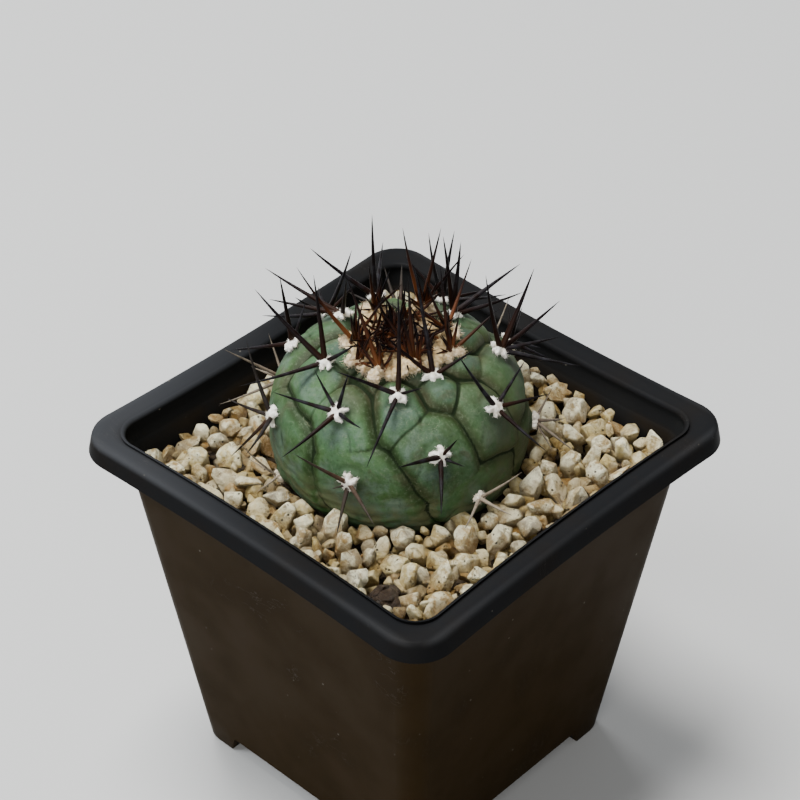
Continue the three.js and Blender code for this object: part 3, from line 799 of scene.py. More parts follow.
def foldDepths(place):
    folds = np.zeros(len(place))
    for points, force in foldLines():
        near = np.linalg.norm(place - points[2], axis=1) < 9
        gap, share = toLine(place[near], points)
        fade = np.sin(np.clip(share, 0.02, 0.98) * math.pi) ** 0.5 * force
        folds[near] = np.maximum(folds[near], bell(gap, skin["fold"][1]) * fade)
    return folds


def skinMaterial():
    material, tree, shader = newMaterial("cactus skin", roughness=0.55, Specular_IOR_Level=0.2)
    place = placeIn(tree)
    crease, fold, age, high, tip = (mark(tree, name) for name in ("crease", "fold", "age", "high", "tip"))
    own, above, under = (mark(tree, name) for name in ("own", "above", "under"))
    broad, fine = cloud(tree, place, 0.12, 3, 0.55), cloud(tree, place, 1.3, 8, 0.8)
    patches = cloud(tree, place, 0.21, 6, 0.62, 0.3)
    scars = cloud(tree, placeIn(tree, (0.25, 0.25, 1.2), (0.2, 0.1, 0)), 0.9, 3)
    # young: painted shade in the creases near the crown, in two tones mixed by patches
    tints = dict(skin["tints"], young=blended(tree, span(tree, patches, 0.4, 0.6), *skin["youngTints"]))
    colour = layered(
        tree, blended(tree, span(tree, broad, 0.35, 0.65), tints["green"], tints["blueGreen"]), tints,
        dull=span(tree, own, 0.2, 0.8, 0, 0.5),
        bloom=times(tree, span(tree, patches, 0.42, 0.66), span(tree, fold, 0.05, 0.6, 0.9, 0),
                    span(tree, high, 0, 1, 1, 0.45)),
        upper=times(tree, above, span(tree, broad, 0.62, 0.42, 0.35, 0.95)),
        # painted shade below each areole
        smudge=times(tree, span(tree, under, 0.2, 0.9), span(tree, patches, 0.35, 0.6, 0.45, 1.0), 0.8),
        # darker olive in the valleys: partly skin colour, partly painted shade
        olive=times(tree, span(tree, fold, 0.1, 0.95), span(tree, broad, 0.3, 0.62, 0.6, 1.0)),
        shade=times(tree, span(tree, fold, 0.4, 1.0), span(tree, age, 0.0, 0.8, 0.8, 0.1)),
        # painted shade in the creases near the crown
        young=times(tree, span(tree, fold, 0.3, 1.0), high, 0.85),
        brown=span(tree, cloud(tree, place, 0.15, 4, 0.6, 0.5), 0.53, 0.66, 0, 0.6),
        light=span(tree, fine, 0.5, 0.66, 0, 0.55),
        dark=span(tree, fine, 0.48, 0.34, 0, 0.6),
        # dry skin and painted shade, growing to the right
        dry=times(tree, span(tree, toRight(tree, coordinates(tree, place)), 6, 22),
                  span(tree, patches, 0.35, 0.6, 0.2, 0.75)),
        corky=times(tree, span(tree, age, 0.15, 1.0), span(tree, cloud(tree, place, 0.3, 5, 0.6), 0.38, 0.6), 0.85),
        # painted shade round each areole
        tip=span(tree, tip, 0.15, 0.8, 0, 0.6),
        # the dark line: painted shade in the narrow groove of a crease
        crease=span(tree, crease, 0.12, 0.85, 0, 0.94),
        fleck=times(tree, dots(tree, place, 0.55, 0.03, 0.09), span(tree, cloud(tree, place, 0.22, 2), 0.54, 0.62),
                    0.75),
        scar=times(tree, hairline(tree, scars, 0.008), span(tree, cloud(tree, place, 0.12, 2), 0.57, 0.66), 0.5))
    roughness = calc(tree, "MAXIMUM", span(tree, fine, 0.3, 0.7, 0.5, 0.68), span(tree, crease, 0.1, 0.5))
    colourBy(tree, shader, colour, roughness)
    pores = cells(tree, place, 3.2, "SMOOTH_F1").outputs["Distance"]
    bump(tree, shader, calc(tree, "ADD", times(tree, pores, 0.35), fine), 0.09, 0.8)
    return material


def makeStem():
    arcs = np.concatenate([np.arange(stem["ringStep"] / 2, stem["buried"], stem["ringStep"]),
                           np.linspace(stem["buried"] + 1, rootEnd, 14)])[::-1]
    turns = 360 * np.arange(stem["columns"]) / stem["columns"]
    turnGrid, arcGrid = np.meshgrid(turns, arcs)
    place, normal, _, _ = onStem(turnGrid.ravel(), arcGrid.ravel())
    arc = arcGrid.ravel()
    lift, between, crossing, own, toTip, exposed, edge = relief(place, arc)
    wander, small, grain = (noiseAt(place, often, shift) for often, shift in (
        (skin["wander"], (0, 0, 0)), (skin["lumps"][1], (9, 2, 5)), (skin["grain"][1], (0, 0, 0))))
    high, old = 1 - smooth(arc, *skin["young"]), smooth(arc, *skin["old"])
    strength = np.maximum((0.8 + 0.9 * wander).clip(0.3, 1), high)
    between, depth = between.clip(0, None), edge.clip(0, None)
    groove = bell(between, skin["groove"][1]) * strength
    width = mixed(*skin["line"], smooth(arc, *skin["lineArcs"]))
    line = np.maximum(bell(between, width) * strength, crossing)
    folds, bare = foldDepths(place), exposed * smooth(toTip, 2.0, 3.6)
    # the places that the painted shade below each areole centres on
    below = onStem(tipTurns, tipArcs + skin["smudge"][0])[0]
    toUnder = np.linalg.norm(place[:, None] - below[None], axis=2).min(1)
    lift = lift - exposed * skin["groove"][0] * groove - bare * skin["fold"][0] * folds
    lift -= exposed * skin["pucker"][0] * bell(toTip - skin["pucker"][1], skin["pucker"][2])
    lift += exposed * (skin["lumps"][0] * small + skin["grain"][0] * grain)
    lift += exposed * old * skin["ripple"][0] * np.sin(arc * skin["ripple"][1] + 4 * wander + 2 * small)
    points = place + normal * lift[:, None]
    points, faces = loft(points.reshape(len(arcs), stem["columns"], 3))
    tone = np.random.default_rng(4).random(spiral["last"] + 1)
    marks = {
        "crease": np.clip(1.15 * line + 0.6 * folds * bare, 0, 1) * exposed,
        "fold": bell(depth, 2.0) * exposed,
        "above": smooth(tipArcs[own] - arc, -1.5, 3.5) * (1 - smooth(arc, *skin["upperEnd"])),
        "age": old,
        "high": high,
        "tip": bell(toTip, 3.0),
        "under": bell(toUnder, skin["smudge"][1]),
        "own": tone[own],
    }
    marks = {name: np.append(values, [0, 0]) for name, values in marks.items()}
    mesh = meshFrom("stem", points, faces, marks=marks)
    finished(linked("cactus_stem", mesh, skinMaterial()), "cactus_skin", "stem")
    print("stem:", len(mesh.polygons), "faces")


makeStem()


# The gravel: a few seeded stone shapes that are packed, turned and sized at random

gravel = {
    "level": 72.4,  # of the fine bed at the middle of the pot
    "rise": (0.02, 0.06),  # for each millimetre to the right and to the back of the side that shows
    "mixTop": 60,
    "clearance": 0.3,
    "depth": 5.2,  # of the loose stones below the bed's level
    "layers": ((0.2, 0.9, 2.3, 0.8), (2.2, 0.8, 3.0, 0.82), (1.5, 0.6, 1.9, 0.74)),  # see packStones
    "small": 0.62,
    "tries": 2600,
    "shapes": 18,
    "shapeCorners": (10, 15),
    "cornerGap": 0.55,
    "shapeSizes": ((1.05, 1.5), (0.88, 1.08), (0.66, 0.9)),  # half length, width and thickness
    "bevel": 0.075,
    "lean": 1.3,
    "seed": 5,
    "bark": ((22.6, -28.9, 2.7), (21.2, -30.3, 2.2), (24.2, -30.2, 2.1), (22.9, -31.5, 1.9)),  # one dark crumb
    "tones": ((0.0, (0.36, 0.26, 0.12)), (0.12, (0.60, 0.38, 0.12)), (0.26, (0.46, 0.37, 0.22)),
              (0.44, (0.70, 0.56, 0.23)), (0.62, (0.82, 0.70, 0.33)), (0.80, (1.0, 0.92, 0.64)),
              (0.93, (0.50, 0.45, 0.33))),
    "tints": {
        "pale": (0.99, 0.955, 0.69),  # painted light: paler on the tops of the stones
        "ochre": (0.40, 0.27, 0.08),
        "rust": (0.17, 0.085, 0.025),
        "dark": (0.26, 0.17, 0.06),
        "light": (0.98, 0.93, 0.72),
        # near black in the pits: painted shade in them
        "hole": (0.03, 0.018, 0.008),
        "stain": (0.40, 0.30, 0.14),  # painted shade, brownish, low between the stones near the bed
    },
    "barkTints": ((0.022, 0.012, 0.006), (0.075, 0.045, 0.025)),
    "gritTones": ((0.1, (0.02, 0.013, 0.007)), (0.9, (0.09, 0.06, 0.03))),
}


def seatRadius(z):  # of the stem below its widest circle
    widest = stem["quarterSteps"]
    return np.interp(-z, -lineZ[widest:], lineR[widest:])


def bedHeight(x, y):
    angle = math.radians(front)
    near, right = x * math.cos(angle) + y * math.sin(angle), -x * math.sin(angle) + y * math.cos(angle)
    return gravel["level"] + gravel["rise"][0] * right - gravel["rise"][1] * near


def stoneShape(draw, index, holder):
    count = draw.randint(*gravel["shapeCorners"])
    spots = []
    while len(spots) < count:
        spot = Vector([draw.gauss(0, 1) for _ in range(3)]).normalized()
        if all((spot - other).length > gravel["cornerGap"] for other in spots):
            spots.append(spot)
    body = bmesh.new()
    size = [draw.uniform(*sizes) for sizes in gravel["shapeSizes"]]
    for spot in spots:
        corner = spot * draw.uniform(0.9, 1.12)
        body.verts.new([corner[k] * size[k] for k in range(3)])
    hull = bmesh.ops.convex_hull(body, input=body.verts)
    inner = [v for v in hull["geom_interior"] if isinstance(v, bmesh.types.BMVert)]
    bmesh.ops.delete(body, geom=inner, context="VERTS")
    bmesh.ops.dissolve_limit(body, angle_limit=math.radians(16), verts=body.verts, edges=body.edges)
    bmesh.ops.bevel(body, geom=body.edges[:], offset=gravel["bevel"], segments=1, profile=0.5, affect="EDGES",
                    clamp_overlap=True)
    bmesh.ops.recalc_face_normals(body, faces=body.faces)
    mesh = bpy.data.meshes.new("stone shape %d" % index)
    body.to_mesh(mesh)
    body.free()
    mesh.shade_smooth()
    mesh.set_sharp_from_angle(angle=math.radians(17))
    holder.objects.link(bpy.data.objects.new(mesh.name, mesh))


# Layers of stones, each one as close together as its share of touching lets it. A layer is the height
# of its stones' middles over the bed, how far that varies, the largest radius, and the share.
def packStones(draw):
    low = np.array([tip for tip in areoleTips[spiral["firstAreole"]:spiral["lastAreole"] + 1] if tip[2] < 84])
    inside = pot["wall"] + gravel["clearance"]
    half = mixed(*pot["wallHalf"], gravel["level"] / pot["height"]) - inside
    placed = []
    for layer, (level, change, largest, share) in enumerate(gravel["layers"]):
        crumbs = [(x, y, bedHeight(x, y) + 1.6, radius) for x, y, radius in gravel["bark"]]
        own = np.array(crumbs) if layer == 1 else np.zeros((0, 4))
        for step in range(gravel["tries"]):
            radius = largest * mixed(1, gravel["small"], min(1, step / gravel["tries"] + 0.4 * draw.random()))
            reach = half - 0.86 * radius - 0.2
            x, y = draw.uniform(-reach, reach), draw.uniform(-reach, reach)
            z = bedHeight(x, y) + level + draw.uniform(-change, change)
            if len(own) and (np.hypot(own[:, 0] - x, own[:, 1] - y) < share * (own[:, 3] + radius)).any():
                continue
            if math.hypot(x - stem["place"][0], y - stem["place"][1]) < seatRadius(z) + 0.9 * radius:
                continue
            if (np.linalg.norm(low - (x, y, z), axis=1) < 0.9 * radius + 1.8).any():
                continue
            if layer == 2:
                gaps = np.linalg.norm(placed[:, :3] - (x, y, z), axis=1)
                if (gaps < 0.62 * (placed[:, 3] + radius)).any():
                    continue
            own = np.vstack([own, (x, y, z, radius)])
        placed = own if layer == 0 else np.vstack([placed, own])
    return placed


def stoneMaterial():
    material, tree, shader = newMaterial("pale gravel", roughness=0.6, Specular_IOR_Level=0.5)
    place, tone = placeIn(tree), mark(tree, "tone")
    veins, broad = cloud(tree, place, 0.38, 6, 0.66, 0.8), cloud(tree, place, 0.17, 3, 0.6)
    grit, parts, level = cloud(tree, place, 1.5, 8, 0.8), coordinates(tree, place), bedHeight(0, 0)
    bed = calc(tree, "ADD", times(tree, parts[0], bedHeight(1, 0) - level),
               times(tree, parts[1], bedHeight(0, 1) - level))
    over = calc(tree, "SUBTRACT", parts[2], calc(tree, "ADD", bed, level))  # height over the sloping bed
    hole = times(tree, dots(tree, place, 0.8, 0.1, 0.24), span(tree, cloud(tree, place, 0.5, 1), 0.52, 0.6))
    colour = layered(
        tree, ramp(tree, tone, gravel["tones"]), gravel["tints"],
        # painted light: paler the higher a stone's surface stands over the bed
        pale=times(tree, span(tree, cloud(tree, place, 0.5, 5, 0.6), 0.4, 0.56),
                   span(tree, over, 0.8, 4.6, 0.1, 0.95)),
        ochre=times(tree, span(tree, veins, 0.53, 0.40), span(tree, broad, 0.38, 0.6), 0.85),
        rust=times(tree, span(tree, veins, 0.44, 0.33), span(tree, broad, 0.6, 0.35), 0.85),
        dark=span(tree, grit, 0.53, 0.67, 0, 0.6),
        light=span(tree, grit, 0.46, 0.36, 0, 0.7),
        # painted shade in the pits
        hole=times(tree, hole, 0.9))
    # painted shade: darker and browner the lower the surface lies over the bed, between the stones
    stained = times(tree, span(tree, over, 5.0, 1.2), span(tree, broad, 0.2, 0.6, 0.5, 1.0), 0.9)
    colour = blended(tree, stained, colour, gravel["tints"]["stain"], "MULTIPLY")
    crumb = blended(tree, span(tree, grit, 0.4, 0.65), *gravel["barkTints"])
    colour = blended(tree, span(tree, tone, 1.2, 1.8), colour, crumb)
    colourBy(tree, shader, colour, span(tree, veins, 0.3, 0.7, 0.28, 0.6))
    chips = cells(tree, place, 0.62, "SMOOTH_F1").outputs["Distance"]
    height = calc(tree, "SUBTRACT", times(tree, veins, 2.6), times(tree, grit, 1.5))
    height = calc(tree, "ADD", height, times(tree, chips, 0.9))
    bump(tree, shader, calc(tree, "SUBTRACT", height, hole), 0.75, 1.0)
    return material


def stoneGroup(holder, material):
    group = newGroup("scatter stones", {"Stone size": 1.0, "Lean": 0.9, "Shapes": 14, "Seed": 1})
    given = add(group, "NodeGroupInput").outputs
    size = times(group, named(group, "girth"), given["Stone size"])
    turn = randomTurn(group, given["Lean"], given["Seed"])
    which = add(group, "FunctionNodeRandomValue", {"Seed": given["Seed"]}, data_type="INT")
    which.inputs[4].default_value = 0
    group.links.new(calc(group, "SUBTRACT", given["Shapes"], 1.0), which.inputs[5])
    shapes = add(group, "GeometryNodeCollectionInfo", {"Separate Children": True, "Reset Children": True})
    shapes.inputs["Collection"].default_value = holder
    scatter = add(group, "GeometryNodeInstanceOnPoints", {
        "Points": given["Geometry"], "Instance": shapes.outputs[0], "Pick Instance": True,
        "Instance Index": which.outputs[2], "Rotation": turn, "Scale": size})
    return ended(group, scatter, material)


def makeGravel():
    material = stoneMaterial()
    draw = random.Random(gravel["seed"])
    holder = bpy.data.collections.new("stone shapes")
    for index in range(gravel["shapes"]):
        stoneShape(draw, index, holder)
    placed = packStones(draw)
    inBark = np.isin(placed[:, 0], [x for x, _, _ in gravel["bark"]])
    tones = np.array([2.0 if dark else draw.random() for dark in inBark])
    spots = meshFrom("stone places", placed[:, :3], [], marks={"girth": placed[:, 3] * mm, "tone": tones})
    sizes = {"Stone size": 1.0, "Lean": gravel["lean"], "Shapes": gravel["shapes"], "Seed": gravel["seed"]}
    mesh = grown(linked("stone places", spots), stoneGroup(holder, material), sizes)
    for o in list(holder.objects):
        bpy.data.objects.remove(o)
    bpy.data.collections.remove(holder)
    stones = linked("gravel_stones", mesh, material)
    finished(stones, "gravel", "gravel")
    print("gravel:", len(placed), "stones,", len(mesh.polygons), "faces")


# Fine grit under the stones, round the stem: one closed ring
def makeGrit():
    material, tree, shader = newMaterial("fine grit", roughness=0.95)
    place = placeIn(tree)
    grain = cells(tree, place, 1.1)
    colourBy(tree, shader, ramp(tree, grain.outputs["Color"], gravel["gritTones"]))
    bump(tree, shader, grain.outputs["Distance"], 0.5)
    inset = pot["wall"] + gravel["clearance"]
    bottom = gravel["mixTop"] + gravel["clearance"]
    outer = wallRing(bottom, inset)
    around = np.arctan2(outer[:, 1] - stem["place"][1], outer[:, 0] - stem["place"][0])

    def inner(z):
        r = seatRadius(z) + gravel["clearance"]
        x, y = stem["place"][0] + r * np.cos(around), stem["place"][1] + r * np.sin(around)
        return np.stack([x, y, np.full(len(around), z)], 1)

    level = gravel["level"] - gravel["depth"] + 1.2
    rings = [outer, wallRing(level, inset), inner(level), inner(bottom)]
    count = len(outer)
    points = np.vstack(rings)
    faces = []
    for r in range(4):
        for i in range(count):
            a, b, step = r * count, (r + 1) % 4 * count, (i + 1) % count
            faces.append((a + i, a + step, b + step, b + i))
    mesh = meshFrom("grit", points, faces)
    mesh.shade_flat()
    finished(linked("gravel_grit", mesh, material), "gravel", "gravel")


makeGravel()
makeGrit()


# The spines: each is swept along a short line, and an areole has a spray of them

spines = {
    "radius": 0.74,
    "youngRadius": 0.6,
    "root": 0.5,  # how deep a spine starts in its wool
    "shortest": 3.5,
    "gap": 1.2,  # least distance between the middles of two sprays' spines
    "sides": 8,
    "taper": 0.7,
    "point": 0.03,
    "bend": 0.03,  # of the length
    "steps": 9,
    "clearance": 0.3,
    "stoneTop": 3.9,  # the highest that a stone stands above the bed
    "number": (4, 6),  # round an areole that faces away, with one more in its middle
    "lean": (52, 72),
    "length": (9, 15),
    "middleLean": 24,
    "middleLength": (15, 19),
    "lowLean": 55,  # a spray at the gravel holds its spines clear of the stones
    "lowArc": 34,
    "dark": ((0.0, (0.010, 0.004, 0.003)), (0.15, (0.0035, 0.0022, 0.0025)), (1.0, (0.002, 0.0015, 0.002))),
    "warm": ((0.0, (0.26, 0.10, 0.03)), (0.25, (0.13, 0.04, 0.012)), (0.6, (0.028, 0.009, 0.005)),
             (0.85, (0.005, 0.003, 0.003))),
    "bloom": (0.020, 0.020, 0.025),
    "grey": (0.26, 0.22, 0.17),
}
crown = {
    "shown": {1: ((26, 28, 14),), 2: ((119, 52, 15),), 3: ((10, 27, 17),), 4: ((182, 22, 20),),
              5: ((307, 12, 18.5), (266, 30, 15), (41, 19, 18)), 6: ((36, 34, 17), (121, 62, 13)),
              7: ((310, 32, 20),)},
    "young": 4,  # spines in each of its areoles, as in the part
    "lean": (15, 62),
    "spread": 75,
    "length": (6, 11.5),
    "nest": 11,  # short spines more in each of its areoles, and others that crowd the growing point
    "nestLength": (3.5, 8.5),
    "extra": 110,
}
placedSpines = []


def seatOf(number):
    turn, arc = areoleAt(number)
    place, normal, up, side = onStem(turn, arc)
    lift = liftAt(place, arc) + spines["clearance"]
    return {"place": place, "normal": normal, "up": up, "side": side, "lift": lift}


def spineFrom(owner, seat, clock, lean, length):
    clock, lean = math.radians(clock), math.radians(lean)
    along = seat["up"] * math.cos(clock) + seat["side"] * math.sin(clock)
    direction = seat["normal"] * math.cos(lean) + along * math.sin(lean)
    foot = seat["place"] + seat["normal"] * seat["lift"]
    return {"owner": owner, "foot": foot - spines["root"] * direction, "tip": foot + length * direction,
            "direction": direction, "seat": seat, "length": length, "lean": lean}


def isClear(spine):
    spots = spine["foot"] + np.linspace(0, 1, 13)[:, None] * (spine["tip"] - spine["foot"])
    for other in placedSpines:
        if other["owner"] == spine["owner"]:
            continue
        run = other["tip"] - other["foot"]
        t = np.clip((spots - other["foot"]) @ run / (run @ run), 0, 1)
        if np.linalg.norm(spots - other["foot"] - t[:, None] * run, axis=1).min() <= spines["gap"]:
            return False
    return True


def isFree(spine):
    x, y, z = spine["tip"]
    reach = pot["openingHalf"] - pot["sideBow"] - pot["wall"] - spines["clearance"]
    inPot = z > pot["height"] + 1 or max(abs(x), abs(y)) < reach
    return inPot and z > bedHeight(x, y) + spines["stoneTop"]


# The part's own rule: a low spine is shortened clear of pot and stones, and one that meets another is turned
def placeSpine(owner, seat, clock, lean, length):
    while length > spines["shortest"] and not isFree(spineFrom(owner, seat, clock, lean, length)):
        length -= 1
    spine = spineFrom(owner, seat, clock, lean, length)
    for turn in range(1, 31):
        if isClear(spine):
            break
        swing = 6 * math.ceil(turn / 2) * (1 if turn % 2 else -1)
        spine = spineFrom(owner, seat, clock + swing, lean, length)
    placedSpines.append(spine)
    return spine


def spinesOf(number):
    if number in shown:
        return shown[number][2]
    draw = drawsFrom(100 + number)
    low = areoleAt(number)[1] > spines["lowArc"]
    count = math.floor(mixed(*spines["number"], next(draw)) + 0.5)
    first = 360 * next(draw)
    found = []
    for i in range(count):
        clock = first + 360 * (i + mixed(-0.15, 0.15, next(draw))) / count
        lean, length = mixed(*spines["lean"], next(draw)), mixed(*spines["length"], next(draw))
        found.append((clock, min(lean, spines["lowLean"]) if low else lean, length))
    clock = 360 * next(draw)
    lean = spines["middleLean"] * next(draw)
    found.append((clock, lean, mixed(*spines["middleLength"], next(draw))))
    return found


def spineMaterial():
    material, tree, shader = newMaterial("spine", roughness=0.42, Specular_IOR_Level=0.07)
    along, tone, old = mark(tree, "along"), mark(tree, "tone"), mark(tree, "old")
    place = placeIn(tree)
    colour = layered(
        tree, blended(tree, tone, ramp(tree, along, spines["dark"]), ramp(tree, along, spines["warm"])), spines,
        bloom=times(tree, span(tree, cloud(tree, place, 0.5, 4, 0.6), 0.4, 0.7), span(tree, tone, 0.07, 0.03),
                    span(tree, along, 0.1, 0.3, 0.2, 0.8)),
        grey=times(tree, old, span(tree, cloud(tree, place, 0.9, 4), 0.3, 0.6, 0.55, 1)))
    colourBy(tree, shader, colour)
    bump(tree, shader, cloud(tree, place, 2.5, 3), 0.05, 0.6)
    return material


def sweepGroup(material):
    group = newGroup("sweep spines", {"Sides": 8, "Thickness": 1.0, "Taper": 0.8, "Point": 0.04})
    given = add(group, "NodeGroupInput").outputs
    girth, along = (named(group, name) for name in ("girth", "along"))
    taper = calc(group, "POWER", calc(group, "SUBTRACT", 1.0, along, clamp=True), given["Taper"])
    taper = calc(group, "MAXIMUM", taper, given["Point"])
    radius = times(group, girth, taper, given["Thickness"])
    line = add(group, "GeometryNodeMeshToCurve", {0: given["Geometry"]})
    ring = add(group, "GeometryNodeCurvePrimitiveCircle", {"Resolution": given["Sides"], "Radius": 1.0})
    swept = add(group, "GeometryNodeCurveToMesh", {"Curve": line.outputs[0], "Profile Curve": ring.outputs[0],
                                                   "Scale": radius, "Fill Caps": True})
    smoothed = add(group, "GeometryNodeSetShadeSmooth", {"Geometry": swept.outputs[0]})
    return ended(group, smoothed, material)


horn = spineMaterial()
sweep = sweepGroup(horn)


def makeSpray(name, found, radius, draw, warmth, age=0.0):
    points, edges, marks = [], [], {"girth": [], "along": [], "tone": [], "old": []}
    for spine in found:
        steps = np.linspace(0, 1, spines["steps"])
        start = len(points)
        edges += [(start + i, start + i + 1) for i in range(len(steps) - 1)]
        across = np.cross(spine["direction"], (0, 0, 1.0))
        across /= max(np.linalg.norm(across), 1e-6)
        lift = np.cross(across, spine["direction"])
        bend = spines["bend"] * spine["length"] * (draw.uniform(-0.2, 1) * lift + draw.uniform(-0.5, 0.5) * across)
        line = spine["foot"] + steps[:, None] * (spine["tip"] - spine["foot"])
        points += list(line - 4 * (steps * (1 - steps))[:, None] * bend)
        slim = 1.05 - 0.3 * math.degrees(spine["lean"]) / 75
        girth = radius * draw.uniform(0.88, 1.08) * min(1.0, 0.6 + 0.028 * spine["length"]) * slim
        marks["girth"] += [girth * mm] * len(steps)
        marks["along"] += list(steps)
        marks["tone"] += [draw.uniform(*warmth)] * len(steps)
        marks["old"] += [age] * len(steps)
    source = linked(name, meshFrom(name, points, [], edges, marks))
    sizes = {"Sides": spines["sides"], "Taper": spines["taper"], "Point": spines["point"], "Thickness": 1.0}
    mesh = grown(source, sweep, sizes)
    return linked(name, mesh, horn)


numbers = range(spiral["firstAreole"], spiral["lastAreole"] + 1)
seats = {number: seatOf(number) for number in range(spiral["lastAreole"] + 1)}
sprays = {}
for number in sorted(numbers, key=lambda n: (n not in shown, n)):  # those that show are placed first
    sprays[number] = [placeSpine(number, seats[number], *spine) for spine in spinesOf(number)]
for number in numbers:
    low, weak = (float(smooth(areoleAt(number)[1], *arcs)) for arcs in ((26, 42), (33, 41)))
    radius = spines["radius"] * (1 - 0.15 * low - 0.3 * weak)
    spray = makeSpray("spray_%02d" % number, sprays[number], radius, random.Random(300 + number),
                      warmth=(0.0, 0.09 + 0.3 * low), age=0.3 * low + 0.7 * weak)
    finished(spray, "spines", "areole_%02d" % number)
print("spines:", sum(len(s) for s in sprays.values()), "below the crown")


def makeCrownSpines():
    found = []
    part = drawsFrom(23)
    for number in range(spiral["firstAreole"]):
        listed = list(crown["shown"].get(number, ()))
        while len(listed) < crown["young"]:
            clock = crown["spread"] * (2 * next(part) - 1)
            listed.append((clock, mixed(*crown["lean"], next(part)), mixed(*crown["length"], next(part))))
        found += [placeSpine("crown", seats[number], *spine) for spine in listed]
    draw = random.Random(77)
    seated = [(seats[number], 0.9) for number in range(spiral["firstAreole"]) for _ in range(crown["nest"])]
    for _ in range(crown["extra"]):
        place, normal, up, side = onStem(draw.uniform(0, 360), draw.uniform(0.5, 7.4))
        seated.append(({"place": place, "normal": normal, "up": up, "side": side, "lift": draw.uniform(0, 1.2)}, 0))
    for seat, spread in seated:
        place = seat["place"] + spread * (draw.uniform(-1, 1) * seat["side"] + draw.uniform(-1, 1) * seat["up"])
        near = dict(seat, place=place)
        clock = draw.gauss(0, 55) if spread else draw.uniform(0, 360)
        lean = draw.uniform(12, 74) if spread else draw.uniform(5, 82)
        found.append(spineFrom("crown", near, clock, lean, draw.uniform(*crown["nestLength"])))
    spray = makeSpray("crown_spines", found, spines["youngRadius"], draw, warmth=(0.0, 0.8))
    finished(spray, "spines")
    print("crown spines:", len(found))


makeCrownSpines()


# The wool: felt with short fibres

wool = {
    "pad": 0.92,  # radius of the cushion in the middle of an areole's star
    "arm": ((0.6, 0.76), (1.06, 0.7), (1.48, 0.58), (1.8, 0.38)),  # distance from the middle and radius
    "fibre": (0.42, 0.022),  # length and radius
    "fibres": 7.0,  # in a square millimetre
    "voxel": 0.16,
    "rough": (0.12, 1.4),  # height of the tufts' roughness, and how many in a millimetre
    "crownFibre": (0.8, 0.026),
    "crownFibres": 6.0,
    "crownVoxel": 0.24,
    "crownRough": (0.34, 2.3),
    "crownLumps": 420,
    "bristle": 0.9,
    "white": ((0.66, 0.62, 0.52), (0.90, 0.885, 0.83)),
    "cream": ((0.33, 0.20, 0.07), (0.70, 0.54, 0.28)),
    "deep": (0.06, 0.024, 0.01),  # painted shade between the young spines and among spine bases
}


def woolMaterial():
    material, tree, shader = newMaterial("wool", roughness=0.95, Specular_IOR_Level=0.15, Sheen_Weight=0.25,
                                         Sheen_Roughness=0.6)
    place, tan, depth = placeIn(tree), mark(tree, "tan"), mark(tree, "depth")
    patches = cloud(tree, place, 0.5, 4, 0.6)
    white = blended(tree, span(tree, patches, 0.3, 0.6), *wool["white"])
    cream = blended(tree, span(tree, patches, 0.3, 0.65), *wool["cream"])
    colour = blended(tree, tan, white, cream)
    # painted shade by the depth mark
    colourBy(tree, shader, layered(tree, colour, wool, deep=times(tree, depth, 0.9)))
    strands = cloud(tree, place, 3.0, 5, 0.7, 1.5)
    bump(tree, shader, strands, 0.25, 0.8)
    return material


def woolGroup(material):
    group = newGroup("wool fibres", {"Density": 1.0, "Length": 0.5, "Radius": 0.03, "Bristle": 0.9, "Seed": 1})
    given = add(group, "NodeGroupInput").outputs
    spread = add(group, "GeometryNodeDistributePointsOnFaces",
                 {"Mesh": given["Geometry"], "Density": given["Density"], "Seed": given["Seed"]})
    curl = add(group, "GeometryNodeCurveQuadraticBezier", {"Resolution": 3, "Start": (0, 0, -0.15),
                                                           "Middle": (0.05, 0, 0.55), "End": (0.5, 0.1, 0.9)})
    thin = calc(group, "DIVIDE", given["Radius"], given["Length"])
    ring = add(group, "GeometryNodeCurvePrimitiveCircle", {"Resolution": 3, "Radius": thin})
    hair = add(group, "GeometryNodeCurveToMesh", {"Curve": curl.outputs[0], "Profile Curve": ring.outputs[0],
                                                  "Fill Caps": True})
    turn = randomTurn(group, given["Bristle"], given["Seed"])
    turn = add(group, "FunctionNodeRotateRotation", {0: spread.outputs["Rotation"], 1: turn}, rotation_space="LOCAL")
    size = add(group, "FunctionNodeRandomValue", {2: 0.55, 3: 1.15, "Seed": given["Seed"]}, data_type="FLOAT")
    size = times(group, size.outputs[1], given["Length"])
    hairs = add(group, "GeometryNodeInstanceOnPoints", {"Points": spread.outputs[0], "Instance": hair.outputs[0],
                                                        "Rotation": turn.outputs[0], "Scale": size})
    both = add(group, "GeometryNodeJoinGeometry")
    group.links.new(hairs.outputs[0], both.inputs[0])
    group.links.new(given["Geometry"], both.inputs[0])
    return ended(group, both, material)


felt = woolMaterial()
fibres = woolGroup(felt)


def ballShape():
    whole = bmesh.new()
    bmesh.ops.create_icosphere(whole, subdivisions=2, radius=1)
    points = np.array([v.co[:] for v in whole.verts])
    faces = [tuple(v.index for v in f.verts) for f in whole.faces]
    whole.free()
    return points, faces


ball = ballShape()


